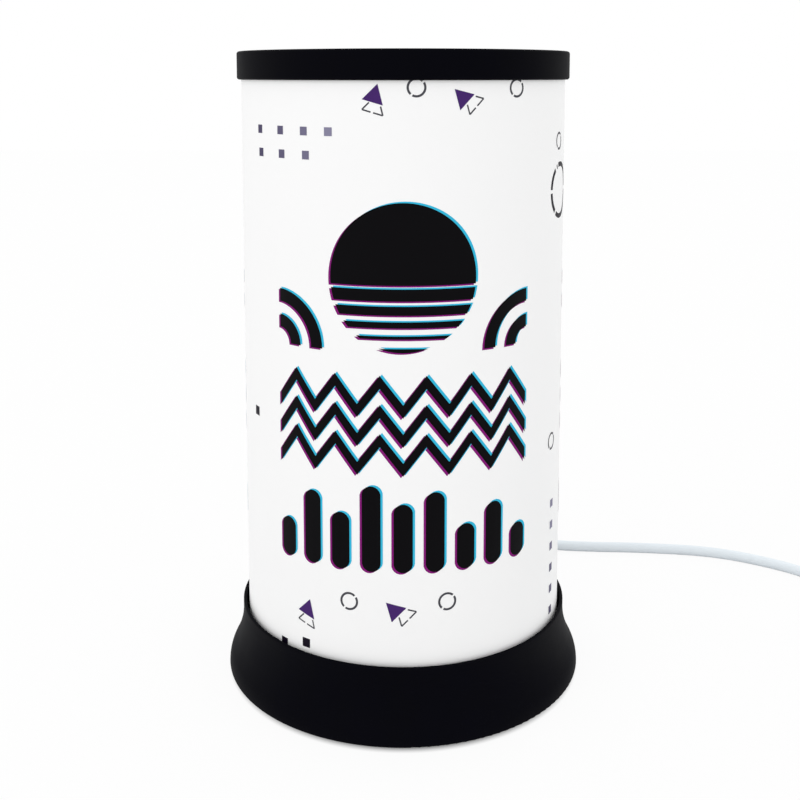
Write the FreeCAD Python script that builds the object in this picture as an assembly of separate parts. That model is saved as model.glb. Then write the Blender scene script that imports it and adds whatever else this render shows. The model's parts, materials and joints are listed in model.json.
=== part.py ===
"""A rotating motion lamp.

A black base holds a small bulb. A wire frame bent over the bulb carries a needle, and a fan wheel with a
printed shade hangs on that needle and turns in the warm air. The mains lead leaves the base near the back.
Every size is in millimetres and every angle in degrees. +Z is up, the front is -Y, and the origin is on the
table under the middle of the lamp.
"""

import FreeCAD, Part
import math
import os
from FreeCAD import Vector

# Shade
shade_radius = 60.0
film_thickness = 0.4
lap_width = 12.0
seam_strip_width = 16.0
seam_strip_thickness = 0.2
lamp_height = 236.0
top_ring_height = 10.2
top_ring_skirt = 1.0
top_ring_plate = 1.6
top_ring_flange = 9.0
top_ring_round = 0.9
film_slip = 0.2
fan_band_wall = 1.8
lower_ring_wall = 1.6
lower_ring_height = 5.0
lower_ring_lip = 0.6
shade_to_deck = 2.4
seam_angle = 90.0
seam_strip_clear = 0.5

# Fan wheel
blade_count = 16
blade_thickness = 0.9
blade_pitch = 22.0
blade_cover = 0.84
hub_radius = 8.0
hub_height = 7.4
hub_top_drop = 2.0
blade_root = 1.0
ring_screw_count = 4
ring_screw_angle = 45.0
ring_screw_boss = 2.4
boss_sink = 0.6
boss_floor = 1.0

# Pivot
cup_radius = 3.0
cup_height = 4.8
cup_mouth_radius = 2.2
cup_depth = 3.5
hub_cap_radius = 5.5
hub_cap_height = 1.6
needle_radius = 0.8
needle_point = 4.0
needle_tip_radius = 0.05
needle_seat = 4.7
pivot_gap = 0.1
collar_radius = 4.0
collar_height = 10.2
collar_below_wire = 3.0
collar_to_hub = 1.4
grub_radius = 1.5
grub_slot_width = 0.6
grub_slot_depth = 0.7

# Wire frame
wire_radius = 1.2
frame_half_width = 34.0
frame_bend = 22.0
frame_socket_depth = 7.8
frame_boss_radius = 3.4

# Base
foot_height = 1.6
base_flare = 5.6
base_height = 25.6
rim_wall = 1.2
rim_gap = 0.6
flare_height = 22.4
bulge_share = 0.25
base_edge_round = 0.6
deck_height = 13.4
deck_thickness = 2.5
skirt_foot_wall = 2.2
skirt_ledge = 1.4
skirt_wall = 2.1
boss_skin = 0.5
socket_floor = 1.0
cover_thickness = 2.0
cover_slip = 0.3
vent_count = 12
vent_width = 4.0
deck_vent_inner = 22.0
deck_vent_to_rim = 15.0
cover_vent_inner = 20.0
cover_vent_to_foot = 6.0
foot_count = 4
foot_radius = 6.0
foot_inset = 15.6
foot_recess = 0.8
foot_bevel = 0.5
foot_angle = 45.0
cover_screw_count = 4
cover_screw_inset = 8.6
cover_screw_angle = 20.0
cover_boss_radius = 3.2

# Lampholder
nipple_radius = 5.0
nipple_bore = 3.8
nipple_above_floor = 1.0
nipple_below_nut = 1.0
nut_across_flats = 14.0
nut_height = 2.6
washer_radius = 8.5
washer_thickness = 0.8
holder_radius = 13.6
holder_wall = 1.8
holder_foot_radius = 11.0
holder_foot_height = 7.0
holder_floor = 3.0
holder_lower_height = 19.0
holder_upper_height = 26.0
holder_spigot = 4.0
holder_lip = 9.2
holder_lip_height = 2.0
rib_count = 18
rib_depth = 0.5
rib_gap = 1.0
rib_margin = 3.0
block_height = 7.0
block_ledge = 1.5
thread_radius = 7.0
thread_depth = 0.3
thread_pitch = 2.8
thread_turns = 5
thread_slip = 0.2
metal_thickness = 0.4
terminal_inset = 4.9
terminal_width = 4.0
terminal_depth = 3.4
terminal_height = 2.6
terminal_screw_radius = 1.3
terminal_screw_length = 1.2
rivet_radius = 1.2
rivet_head_radius = 1.35
rivet_head_height = 0.5
contact_width = 3.2
contact_gap = 0.1

# Bulb
contact_rise = 2.4
bulb_contact_height = 1.0
bulb_contact_radius = 2.2
insulator_height = 2.6
insulator_ledge = 0.6
bulb_contact_tip = 1.2
cap_skirt_height = 6.0
cap_slip = 0.1
cap_shoulder = 1.1
glass_in_cap = 4.5
neck_above_cap = 1.0
globe_radius = 22.5
neck_radius = 8.0
neck_sweep = 20.0
glass_wall = 0.8
stem_radius = 2.4
stem_height = 20.0
stem_flare_height = 4.5
stem_seal_height = 1.0
filament_radius = 0.3
filament_half_width = 9.0
filament_rise = 17.0
filament_crown = 4.0
lead_half_spacing = 1.2
lead_straight = 3.0

# Mains lead inside the base
cord_diameter = 4.6
exit_angle = 60.0
exit_height = 8.2
exit_boss_radius = 5.0
exit_boss_length = 7.3
exit_boss_proud = 1.7
relief_neck_radius = 3.2
relief_flange_radius = 4.2
relief_flange = 1.4
relief_collar = 0.4
relief_tail_radius = 3.9
relief_tip_radius = 2.9
relief_tail = 20.0
relief_groove_count = 5
relief_groove = 0.6
core_radius = 0.85
core_spacing = 2.4
core_fan = 18.0
core_above_cover = 2.7
core_turn = 4.0
cord_past_clamp = 8.0
clamp_inset = 15.6
clamp_width = 5.0
clamp_half_length = 11.0
clamp_thickness = 1.25
clamp_screw_offset = 8.0
clamp_boss_radius = 2.6
saddle_half_length = 3.0

# Inline switch on the lead
switch_length = 54.0
switch_width = 22.0
switch_height = 13.0
switch_split = 6.2
switch_wall = 1.6
switch_corner = 5.0
switch_edge = 1.5
switch_centre = (198.7, -3.7)
switch_screw_inset = 12.0
switch_screw_wall = 2.4
switch_post_wall = 1.0
switch_head_depth = 0.4
rocker_length = 14.4
rocker_width = 9.0
rocker_travel = 16.0
rocker_pin_radius = 0.8
rocker_pin_height = 9.6
rocker_crown = 2.0
rocker_dip = 0.9
rocker_depth = 2.6
rocker_chamfer = 1.0
rocker_foot = 2.5
rocker_side_slip = 0.3
window_slip = 0.9
lug_length = 4.4
lug_thickness = 2.0
lug_drop = 1.8
bridge_length = 10.0
bridge_width = 3.0
bridge_thickness = 0.5
contact_length = 5.2
end_contact_offset = 5.6
middle_contact_length = 2.8
rest_half_width = 3.0
switch_contact_gap = 0.1
cord_in_switch = 8.0

# Plug
plug_thickness = 13.7
plug_width = 35.3
plug_length = 34.0
plug_tail_width = 12.0
plug_groove_count = 4
plug_groove_width = 1.3
plug_groove_step = 3.2
plug_groove_first = 2.6
plug_shoulder = 10.0
plug_round = 2.5
plug_sleeve_length = 16.0
plug_sleeve_radius = 4.2
plug_sleeve_tip = 3.1
pin_radius = 2.0
pin_length = 19.0
pin_spacing = 18.6
pin_insulation = 10.0
pin_seat = 8.0
pin_neck = 0.5
pin_sleeve_inset = 0.2
pin_nose = 1.0
pin_nose_bevel = 0.8
plug_place = (273.0, 7.0)

# Screws: head radius, head height, shank radius, length under the head
cover_screw = (2.8, 1.4, 1.05, 7.0)
clamp_screw = (2.0, 0.8, 0.9, 5.5)
ring_screw = (1.9, 1.0, 0.85, 5.0)
switch_screw = (2.0, 1.0, 0.9, 7.0)
pilot_slip = 0.05
head_slip = 0.2
running_slip = 0.05
screw_slot_width = 0.5
screw_slot_reach = 0.65
screw_slot_depth = 0.55

# The lead's free stretches, laid by hand, each a list of corners
route_to_switch = [
    (52.0, 90.1, 7.2),
    (67.6, 99.1, 3.0),
    (85.6, 99.0, 2.3),
    (116.0, 96.4, 2.3),
    (148.0, 90.0, 2.3),
    (172.0, 77.0, 2.3),
    (186.1, 64.3, 2.3),
    (195.1, 49.9, 2.9),
    (198.6, 35.3, 5.9),
]
route_to_coil = [(198.7, -37.7, 5.9), (198.7, -46.7, 3.5)]
route_to_plug = [(271.6, -43.0, 8.2), (272.6, -31.0, 7.6), (273.0, -19.0, 7.0)]

# Coil of spare lead
coil_entry = (198.7, -57.6)
coil_inner_radius = 18.5
coil_half_turns = 8
coil_gap = 0.5
tie_thickness = 0.6
tie_width = 4.5
tie_slip = 0.35
tie_corner = 2.6

# Heights and radii that follow from the sizes above
cord_radius = cord_diameter / 2
base_bottom = foot_height
cover_top = base_bottom + cover_thickness
deck_top = base_bottom + deck_height
deck_bottom = deck_top - deck_thickness
rim_top = base_bottom + base_height
rim_inner = shade_radius + film_thickness + rim_gap
rim_outer = rim_inner + rim_wall
base_radius = rim_outer + base_flare
recess_radius = base_radius - skirt_foot_wall
cover_screw_circle = recess_radius - cover_screw_inset
foot_circle = recess_radius - foot_inset
clamp_circle = recess_radius - clamp_inset
cord_end = clamp_circle - cord_past_clamp
deck_vent_outer = rim_inner - deck_vent_to_rim
cover_vent_outer = foot_circle - foot_radius - cover_vent_to_foot
film_inner = shade_radius - film_thickness
lap_outer = shade_radius + film_thickness
skirt_inner = lap_outer + film_slip
top_ring_radius = skirt_inner + top_ring_skirt
ring_bottom = lamp_height - top_ring_height
plate_bottom = lamp_height - top_ring_plate
flange_inner = top_ring_radius - top_ring_flange
band_outer = film_inner - film_slip
band_inner = band_outer - fan_band_wall
ring_screw_circle = band_inner - ring_screw_boss + boss_sink
film_bottom = deck_top + shade_to_deck + lower_ring_lip
film_top = plate_bottom - film_slip
hub_top = lamp_height - hub_top_drop
hub_bottom = hub_top - hub_height
fan_centre = hub_bottom + hub_height / 2
cup_bottom = hub_bottom + running_slip
cup_top = cup_bottom + cup_height
needle_tip = cup_bottom + cup_depth - pivot_gap
collar_top = hub_bottom - collar_to_hub
collar_bottom = collar_top - collar_height
frame_top = collar_bottom + collar_below_wire
holder_bottom = deck_top
holder_split = holder_bottom + holder_lower_height
holder_top = holder_split + holder_upper_height
nipple_top = holder_bottom + holder_floor + nipple_above_floor
block_top = holder_split + holder_spigot
block_bottom = block_top - block_height
block_radius = holder_radius - 2 * holder_wall - running_slip
terminal_offset = block_radius - terminal_inset
rivet_hole_radius = rivet_radius + running_slip
bulb_tip = block_top + contact_rise
thread_bottom = bulb_tip + bulb_contact_height + insulator_height
thread_top = thread_bottom + thread_turns * thread_pitch
cap_top = thread_top + cap_skirt_height
glass_bottom = cap_top - glass_in_cap
neck_top = cap_top + neck_above_cap
globe_centre = neck_top + math.sqrt((globe_radius + neck_sweep) ** 2 - (neck_radius + neck_sweep) ** 2)
clamp_top = exit_height - cord_radius - running_slip
plug_axis = plug_thickness / 2
bridge_depth = rocker_depth + bridge_thickness
coil_pitch = cord_diameter + coil_gap
coil_outer_radius = coil_inner_radius + coil_pitch / 2 * (coil_half_turns - 1)
coil_centre = (coil_entry[0] + coil_outer_radius, coil_entry[1])
coil_low = tie_thickness + tie_slip + cord_radius
coil_high = coil_low + coil_pitch


def cylinder(radius, bottom, top, x=0.0, y=0.0):
    """An upright round bar."""
    return Part.makeCylinder(radius, top - bottom, Vector(x, y, bottom))


def bar(radius, start, end):
    """A round bar between two points."""
    run = Vector(*end) - Vector(*start)
    return Part.makeCylinder(radius, run.Length, Vector(*start), run)


def ring(inner, outer, bottom, top, x=0.0, y=0.0):
    """An upright tube."""
    return cylinder(outer, bottom, top, x, y).cut(cylinder(inner, bottom, top, x, y))


def block(low, high):
    """A box between two corners."""
    size = [b - a for a, b in zip(low, high)]
    return Part.makeBox(*size, Vector(*low))


def turned(start, *moves):
    """A solid turned about Z from an outline of (radius, height) points. A move is one point for a straight
    side, or a middle point and an end point for an arc. The last side closes the outline."""
    edges = []
    here = Vector(start[0], 0, start[1])
    for move in (*moves, (start,)):
        *middle, end = [Vector(r, 0, z) for r, z in move]
        if middle:
            edges.append(Part.Arc(here, middle[0], end).toShape())
        elif here.distanceToPoint(end) > 1e-6:
            edges.append(Part.LineSegment(here, end).toShape())
        here = end
    solid = Part.Face(Part.Wire(edges)).revolve(Vector(0, 0, 0), Vector(0, 0, 1), 360)
    return solid if solid.Volume > 0 else solid.reversed()


def polar(radius, angle):
    """The x and y of a point on a circle about the lamp's axis."""
    return radius * math.cos(math.radians(angle)), radius * math.sin(math.radians(angle))


def around(shape, angle):
    """A copy turned about the lamp's axis."""
    copy = shape.copy()
    copy.rotate(Vector(0, 0, 0), Vector(0, 0, 1), angle)
    return copy


def ring_of(shape, count, first=0.0):
    """Copies of a shape, evenly spaced about the lamp's axis."""
    return [around(shape, first + 360.0 * k / count) for k in range(count)]


def joined(shapes):
    """Cutters or loose pieces gathered as one shape."""
    return Part.makeCompound(shapes)


def prism(corners, depth):
    """A straight-sided solid from its end face's corners and the vector across to the other end."""
    return Part.Face(Part.makePolygon(corners + corners[:1])).extrude(depth)


def to_exit(shape):
    """A shape made along +X, turned to where the lead leaves the base."""
    return around(shape, exit_angle)


def screw(size):
    """A cross-head screw that points up, with the underside of its head at the origin."""
    head_radius, head_height, shank_radius, length = size
    body = cylinder(head_radius, -head_height, 0).fuse(cylinder(shank_radius, 0, length))
    point = Part.makeCone(shank_radius, shank_radius / 3, shank_radius, Vector(0, 0, length))
    reach = head_radius * screw_slot_reach
    half = screw_slot_width / 2
    slot = block((-reach, -half, -head_height), (reach, half, -head_height * (1 - screw_slot_depth)))
    return body.fuse(point).cut(joined([slot, around(slot, 90)]))


def moved(shape, x=0.0, y=0.0, z=0.0):
    """A copy shifted."""
    copy = shape.copy()
    copy.translate(Vector(x, y, z))
    return copy


def rounded_path(corners, label):
    """Straight runs joined by tangent arcs, each as large as its two runs allow. Prints the radii."""
    points = [Vector(*p) for p in corners]
    edges = []
    radii = []
    here = points[0]
    for before, corner, after in zip(points, points[1:], points[2:]):
        run_in = corner - before
        run_out = after - corner
        back = 0.45 * min(run_in.Length, run_out.Length)
        turn = run_in.getAngle(run_out)
        run_in.normalize()
        run_out.normalize()
        start = corner - run_in * back
        end = corner + run_out * back
        radius = back / math.tan(turn / 2)
        middle_way = (run_out - run_in).normalize()
        middle = corner + middle_way * (radius / math.cos(turn / 2) - radius)
        edges.append(Part.LineSegment(here, start).toShape())
        edges.append(Part.Arc(start, middle, end).toShape())
        radii.append(round(radius, 1))
        here = end
    edges.append(Part.LineSegment(here, points[-1]).toShape())
    print(label, "bend radii", radii)
    return edges


def swept(edges, radius):
    """A round tube, solid through, along joined edges."""
    path = Part.Wire(edges)
    start = edges[0].valueAt(edges[0].FirstParameter)
    heading = edges[0].tangentAt(edges[0].FirstParameter)
    section = Part.Wire(Part.Circle(start, heading, radius).toShape())
    tube = path.makePipeShell([section], True, False)
    expected = path.Length * math.pi * radius**2
    print("tube length", round(path.Length, 1), "volume share", round(tube.Volume / expected, 4))
    return tube


def skirt_arcs():
    """The skirt's outside: its lowest and highest points, the turn of each arc, and the two arcs' radii."""
    low = base_bottom + base_edge_round
    high = base_bottom + flare_height
    turn = 2 * math.atan((base_radius - rim_outer) / (high - low))
    both = (high - low) / math.sin(turn)
    return low, high, turn, both * bulge_share, both * (1 - bulge_share)


def skirt_radius(height):
    """The skirt's outer radius at a height in its hollow curve."""
    _, high, _, _, hollow = skirt_arcs()
    return rim_outer + hollow - math.sqrt(hollow**2 - (high - height) ** 2)


def skirt_profile():
    """Moves up the outside of the base from its foot to its rim: a bulge, then a long hollow curve."""
    low, high, turn, bulge, hollow = skirt_arcs()
    half = turn / 2
    bulge_middle = (base_radius - bulge * (1 - math.cos(half)), low + bulge * math.sin(half))
    join = (base_radius - bulge * (1 - math.cos(turn)), low + bulge * math.sin(turn))
    hollow_middle = (rim_outer + hollow * (1 - math.cos(half)), high - hollow * math.sin(half))
    return [(bulge_middle, join), (hollow_middle, (rim_outer, high))]


def exit_boss_outer():
    """How far out the boss that the lead leaves through reaches, past the skirt."""
    return skirt_radius(exit_height) + exit_boss_proud


def exit_boss_inner():
    """Where the boss ends inside the skirt."""
    return exit_boss_outer() - exit_boss_length


def relief_tip():
    """How far from the axis the tip of the lead's bush is."""
    return exit_boss_outer() + relief_flange + relief_tail


def base_shell():
    """The moulded base: skirt, rim and deck, with the bosses under the deck."""
    corner = base_edge_round * (1 - math.sqrt(0.5))
    rim_round = rim_wall / 2
    rim_middle = (rim_inner + rim_round, rim_top)
    shell = turned(
        (recess_radius, base_bottom),
        ((base_radius - base_edge_round, base_bottom),),
        ((base_radius - corner, base_bottom + corner), (base_radius, base_bottom + base_edge_round)),
        *skirt_profile(),
        ((rim_outer, rim_top - rim_round),),
        (rim_middle, (rim_inner, rim_top - rim_round)),
        ((rim_inner, deck_top),),
        ((0, deck_top),),
        ((0, deck_bottom),),
        ((skirt_radius(deck_bottom) - skirt_wall, deck_bottom),),
        ((recess_radius - skirt_ledge, cover_top),),
        ((recess_radius, cover_top),),
    )
    inner = exit_boss_inner()
    outer = exit_boss_outer()
    added = [to_exit(bar(exit_boss_radius, (inner, 0, exit_height), (outer, 0, exit_height)))]
    neck = relief_neck_radius + running_slip
    cut = [
        cylinder(nipple_radius + running_slip, deck_bottom - 1, deck_top + 1),
        to_exit(bar(neck, (inner - 1, 0, exit_height), (outer + 1, 0, exit_height))),
        cylinder(recess_radius, base_bottom - 1, cover_top),
    ]
    cover_boss = cylinder(cover_boss_radius, cover_top, deck_bottom, cover_screw_circle)
    cover_pilot_radius = cover_screw[2] + pilot_slip
    cover_pilot = cylinder(cover_pilot_radius, cover_top - 1, deck_bottom - boss_skin, cover_screw_circle)
    added += ring_of(cover_boss, cover_screw_count, cover_screw_angle)
    cut += ring_of(cover_pilot, cover_screw_count, cover_screw_angle)
    frame_foot = deck_top - frame_socket_depth
    for side in (-1, 1):
        x = side * frame_half_width
        added.append(cylinder(frame_boss_radius, frame_foot - socket_floor, deck_bottom, x))
        cut.append(cylinder(wire_radius + running_slip, frame_foot, deck_top + 1, x))
        y = side * clamp_screw_offset
        clamp_boss = cylinder(clamp_boss_radius, clamp_top + running_slip, deck_bottom, clamp_circle, y)
        added.append(to_exit(clamp_boss))
        pilot = clamp_screw[2] + pilot_slip
        cut.append(to_exit(cylinder(pilot, clamp_top - 1, deck_bottom - boss_skin, clamp_circle, y)))
    saddle_low = exit_height + cord_radius + running_slip
    half = clamp_width / 2
    reach = saddle_half_length
    saddle = block((clamp_circle - half, -reach, saddle_low), (clamp_circle + half, reach, deck_bottom))
    added.append(to_exit(saddle))
    slot = vent(deck_vent_inner, deck_vent_outer, deck_bottom - 1, deck_top + 1)
    cut += ring_of(slot, vent_count, 180.0 / vent_count)
    return shell.multiFuse(added).cut(joined(cut)).removeSplitter()


def vent(inner, outer, bottom, top):
    """A radial slot with round ends, as a cutter."""
    half = vent_width / 2
    slot = block((inner + half, -half, bottom), (outer - half, half, top))
    return slot.fuse([cylinder(half, bottom, top, inner + half), cylinder(half, bottom, top, outer - half)])


def bottom_cover():
    """The plate that closes the base from below."""
    plate = cylinder(recess_radius - cover_slip, base_bottom, cover_top)
    slot = vent(cover_vent_inner, cover_vent_outer, base_bottom - 1, cover_top + 1)
    cut = ring_of(slot, vent_count, 180.0 / vent_count)
    recess = cylinder(foot_radius + running_slip, base_bottom - 1, base_bottom + foot_recess, foot_circle)
    cut += ring_of(recess, foot_count, foot_angle)
    head_radius, head_height, shank_radius, _ = cover_screw
    head_top = base_bottom + head_height
    head_room = cylinder(head_radius + head_slip, base_bottom - 1, head_top, cover_screw_circle)
    shank_room = cylinder(shank_radius + head_slip, base_bottom - 1, cover_top + 1, cover_screw_circle)
    cut += ring_of(head_room, cover_screw_count, cover_screw_angle)
    cut += ring_of(shank_room, cover_screw_count, cover_screw_angle)
    return plate.cut(joined(cut))


def feet():
    """The rubber feet, each seated in a recess of the cover."""
    top = base_bottom + foot_recess
    foot = turned(
        (0, 0),
        ((foot_radius - foot_bevel, 0),),
        ((foot_radius, foot_bevel),),
        ((foot_radius, top),),
        ((0, top),),
    )
    return ring_of(moved(foot, foot_circle), foot_count, foot_angle)


def cover_screws():
    """The screws that hold the cover, driven up into the deck's bosses."""
    one = moved(screw(cover_screw), cover_screw_circle, 0, base_bottom + cover_screw[1])
    return joined(ring_of(one, cover_screw_count, cover_screw_angle))


def fixing_nipple():
    """The threaded tube that fixes the lampholder and takes the cores up into it."""
    bottom = deck_bottom - washer_thickness - nut_height - nipple_below_nut
    return ring(nipple_bore, nipple_radius, bottom, nipple_top)


def nipple_nut():
    """The hexagon nut under the deck."""
    top = deck_bottom - washer_thickness
    corner = nut_across_flats / 2 / math.cos(math.radians(30))
    corners = [Vector(*polar(corner, 60 * k), top - nut_height) for k in range(6)]
    nut = prism(corners, Vector(0, 0, nut_height))
    return nut.cut(cylinder(nipple_radius + running_slip, top - nut_height - 1, top + 1))


def nipple_washer():
    """The washer between the nut and the deck."""
    return ring(nipple_radius + 2 * running_slip, washer_radius, deck_bottom - washer_thickness, deck_bottom)


def lampholder_lower():
    """The lower half of the lampholder, with the spigot that the upper half slips over."""
    inner = holder_radius - holder_wall
    seat = block_bottom - block_ledge
    return turned(
        (nipple_radius + running_slip, holder_bottom),
        ((holder_foot_radius, holder_bottom),),
        ((holder_radius, holder_bottom + holder_foot_height),),
        ((holder_radius, holder_split),),
        ((inner - running_slip, holder_split),),
        ((inner - running_slip, block_top),),
        ((block_radius + running_slip, block_top),),
        ((block_radius + running_slip, block_bottom),),
        ((block_radius - block_ledge, block_bottom),),
        ((block_radius - block_ledge, seat),),
        ((block_radius, seat),),
        ((holder_foot_radius - holder_wall, holder_bottom + holder_floor),),
        ((nipple_radius + running_slip, holder_bottom + holder_floor),),
    )


def lampholder_upper():
    """The upper half of the lampholder, with finger ribs round it and a lip at its mouth."""
    inner = holder_radius - holder_wall
    lip_bottom = holder_top - holder_lip_height
    shell = turned(
        (inner, holder_split),
        ((holder_radius, holder_split),),
        ((holder_radius, lip_bottom),),
        ((holder_radius - holder_lip_height, holder_top),),
        ((holder_lip, holder_top),),
        ((holder_lip, lip_bottom),),
        ((inner, lip_bottom),),
    )
    low = holder_split + rib_margin
    high = lip_bottom - rib_margin
    half = rib_gap / 2
    groove = block((holder_radius - rib_depth, -half, low), (holder_radius + 1, half, high))
    return shell.cut(joined(ring_of(groove, rib_count)))


def rivet_holes(bottom, top):
    """The holes for the two rivets, as a cutter."""
    return joined([cylinder(rivet_hole_radius, bottom, top, 0, side * terminal_offset) for side in (-1, 1)])


def contact_block():
    """The insulating block that carries the lampholder's contacts."""
    return cylinder(block_radius, block_bottom, block_top).cut(rivet_holes(block_bottom - 1, block_top + 1))


def terminals():
    """The two brass terminal blocks under the contact block."""
    half_width = terminal_width / 2
    half_depth = terminal_depth / 2
    low = (-half_width, terminal_offset - half_depth, block_bottom - terminal_height)
    high = (half_width, terminal_offset + half_depth, block_bottom)
    return joined(ring_of(block(low, high), 2))


def terminal_screws():
    """The slotted screws in the sides of the terminal blocks."""
    start = terminal_offset + terminal_depth / 2
    end = start + terminal_screw_length
    height = block_bottom - terminal_height / 2
    half = screw_slot_width / 2
    reach = terminal_screw_radius
    one = bar(terminal_screw_radius, (0, start, height), (0, end, height))
    slot = block((-reach, (start + end) / 2, height - half), (reach, end + 1, height + half))
    return joined(ring_of(one.cut(slot), 2))


def contact_rivets():
    """The rivets that join each contact to its terminal through the block."""
    top = block_top + metal_thickness
    shank = cylinder(rivet_radius, block_bottom, top, 0, terminal_offset)
    head = cylinder(rivet_head_radius, top, top + rivet_head_height, 0, terminal_offset)
    return joined(ring_of(shank.fuse(head), 2))


def knuckles(radius, bottom, top):
    """(radius, height) corners of a knuckle thread's wall, from bottom to top."""
    steps = 2 * thread_turns
    heights = [bottom + (top - bottom) * k / steps for k in range(steps + 1)]
    return [((radius - thread_depth * (k % 2), z),) for k, z in enumerate(heights)]


def screw_shell():
    """The lampholder's threaded brass shell, with the tab that one rivet holds."""
    inner = thread_radius + thread_slip
    outer = inner + metal_thickness
    wall_in = knuckles(inner, thread_bottom, thread_top)
    wall_out = knuckles(outer, thread_bottom, thread_top)
    shell = turned(
        (inner, block_top),
        ((outer, block_top),),
        *wall_out,
        *reversed(wall_in),
    )
    half = contact_width / 2
    top = block_top + metal_thickness
    tab = block((-half, terminal_offset - half, block_top), (half, inner + metal_thickness / 2, top))
    return shell.fuse(tab.cut(rivet_holes(block_top - 1, top + 1)))


def centre_contact():
    """The sprung strip under the bulb's tip."""
    half = contact_width / 2
    root = -terminal_offset
    tip = bulb_contact_tip
    top = bulb_tip - contact_gap
    foot = block_top + metal_thickness
    outline = [
        (root - half, block_top),
        (root + half, block_top),
        (-tip / 2, top - metal_thickness),
        (tip, top - metal_thickness),
        (tip, top),
        (-tip / 2, top),
        (root + half, foot),
        (root - half, foot),
    ]
    strip = prism([Vector(-half, y, z) for y, z in outline], Vector(contact_width, 0, 0))
    return strip.cut(rivet_holes(block_top - 1, foot + 1))


def bulb_contact():
    """The solder button at the bulb's tip."""
    top = bulb_tip + bulb_contact_height
    return turned((0, bulb_tip), ((bulb_contact_tip, bulb_tip),), ((bulb_contact_radius, top),), ((0, top),))


def bulb_insulator():
    """The black glass ring between the tip and the cap."""
    low = bulb_tip + bulb_contact_height
    return turned(
        (0, low),
        ((bulb_contact_radius + insulator_ledge, low),),
        ((thread_radius - thread_depth - metal_thickness, thread_bottom),),
        ((0, thread_bottom),),
    )


def bulb_cap():
    """The bulb's metal screw cap."""
    wall_out = knuckles(thread_radius, thread_bottom, thread_top)
    wall_in = knuckles(thread_radius - metal_thickness, thread_bottom, thread_top)
    inner = neck_radius + cap_slip
    outer = inner + metal_thickness
    shoulder = thread_top + cap_shoulder
    return turned(
        (thread_radius - metal_thickness, thread_bottom),
        *wall_out,
        ((outer, shoulder - metal_thickness),),
        ((outer, cap_top),),
        ((inner, cap_top),),
        ((inner, shoulder),),
        *reversed(wall_in),
    )


def bulb_profile(inset):
    """Moves up the outside of the glass, or inside it when inset by the wall."""
    neck = neck_radius - inset
    sweep = neck_sweep + inset
    globe = globe_radius - inset
    lean = math.atan2(globe_centre - neck_top, neck_radius + neck_sweep)
    join = (globe * math.cos(lean), globe_centre - globe * math.sin(lean))
    sweep_middle = (
        neck + sweep * (1 - math.cos(lean / 2)),
        neck_top + sweep * math.sin(lean / 2),
    )
    middle = (math.pi / 2 - lean) / 2
    globe_middle = (globe * math.cos(middle), globe_centre + globe * math.sin(middle))
    return [((neck, neck_top),), (sweep_middle, join), (globe_middle, (0, globe_centre + globe))]


def bulb_glass():
    """The golf-ball bulb's glass."""
    outer = turned((0, glass_bottom), ((neck_radius, glass_bottom),), *bulb_profile(0.0))
    low = glass_bottom - 1
    inner = turned((0, low), ((neck_radius - glass_wall, low),), *bulb_profile(glass_wall))
    return outer.cut(inner)


def bulb_stem():
    """The glass stem inside the bulb, flared where it is sealed to the neck."""
    flare = neck_radius - glass_wall - running_slip
    return turned(
        (0, glass_bottom),
        ((flare, glass_bottom),),
        ((flare, glass_bottom + stem_seal_height),),
        ((stem_radius, glass_bottom + stem_flare_height),),
        ((stem_radius, glass_bottom + stem_height),),
        ((0, glass_bottom + stem_height),),
    )


def bulb_filament():
    """The two leads out of the stem and the filament strung between them."""
    stem_top = glass_bottom + stem_height
    shoulder = stem_top + filament_rise
    outline = [
        (lead_half_spacing, stem_top),
        (lead_half_spacing, stem_top + lead_straight),
        (filament_half_width, shoulder),
        (filament_half_width / 2, shoulder + filament_crown),
    ]
    corners = [(-x, 0, z) for x, z in outline] + [(x, 0, z) for x, z in reversed(outline)]
    return swept(rounded_path(corners, "filament"), filament_radius)


def pivot_frame():
    """The steel wire bent over the bulb, with its feet in the deck."""
    foot = deck_top - frame_socket_depth + running_slip
    x = frame_half_width
    corner = frame_bend * (1 - math.sqrt(0.5))
    bend_z = frame_top - frame_bend
    half = [
        (x, foot),
        (x, bend_z),
        (x - corner, frame_top - corner),
        (x - frame_bend, frame_top),
    ]
    left_foot, left_low, left_middle, left_high = [Vector(-a, 0, b) for a, b in half]
    right_foot, right_low, right_middle, right_high = [Vector(a, 0, b) for a, b in half]
    edges = [
        Part.LineSegment(left_foot, left_low).toShape(),
        Part.Arc(left_low, left_middle, left_high).toShape(),
        Part.LineSegment(left_high, right_high).toShape(),
        Part.Arc(right_high, right_middle, right_low).toShape(),
        Part.LineSegment(right_low, right_foot).toShape(),
    ]
    return swept(edges, wire_radius)


def needle_collar():
    """The brass collar on the frame's top run, drilled for the wire, the needle and the grub screw."""
    body = cylinder(collar_radius, collar_bottom, collar_top)
    reach = collar_radius + 1
    wire_hole = bar(wire_radius + running_slip, (-reach, 0, frame_top), (reach, 0, frame_top))
    needle_hole = cylinder(needle_radius + running_slip / 2, collar_top - needle_seat, collar_top + 1)
    grub_hole = cylinder(grub_radius + running_slip, collar_bottom - 1, frame_top)
    return body.cut(joined([wire_hole, needle_hole, grub_hole]))


def collar_screw():
    """The grub screw that clamps the collar on the wire from below."""
    top = frame_top - wire_radius - running_slip
    half = grub_slot_width / 2
    slot_top = collar_bottom + grub_slot_depth
    slot = block((-grub_radius, -half, collar_bottom - 1), (grub_radius, half, slot_top))
    return cylinder(grub_radius, collar_bottom, top).cut(slot)


def pivot_needle():
    """The steel needle that the fan wheel turns on."""
    shoulder = needle_tip - needle_point
    shank = cylinder(needle_radius, collar_top - needle_seat, shoulder)
    return shank.fuse(Part.makeCone(needle_radius, needle_tip_radius, needle_point, Vector(0, 0, shoulder)))


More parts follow.
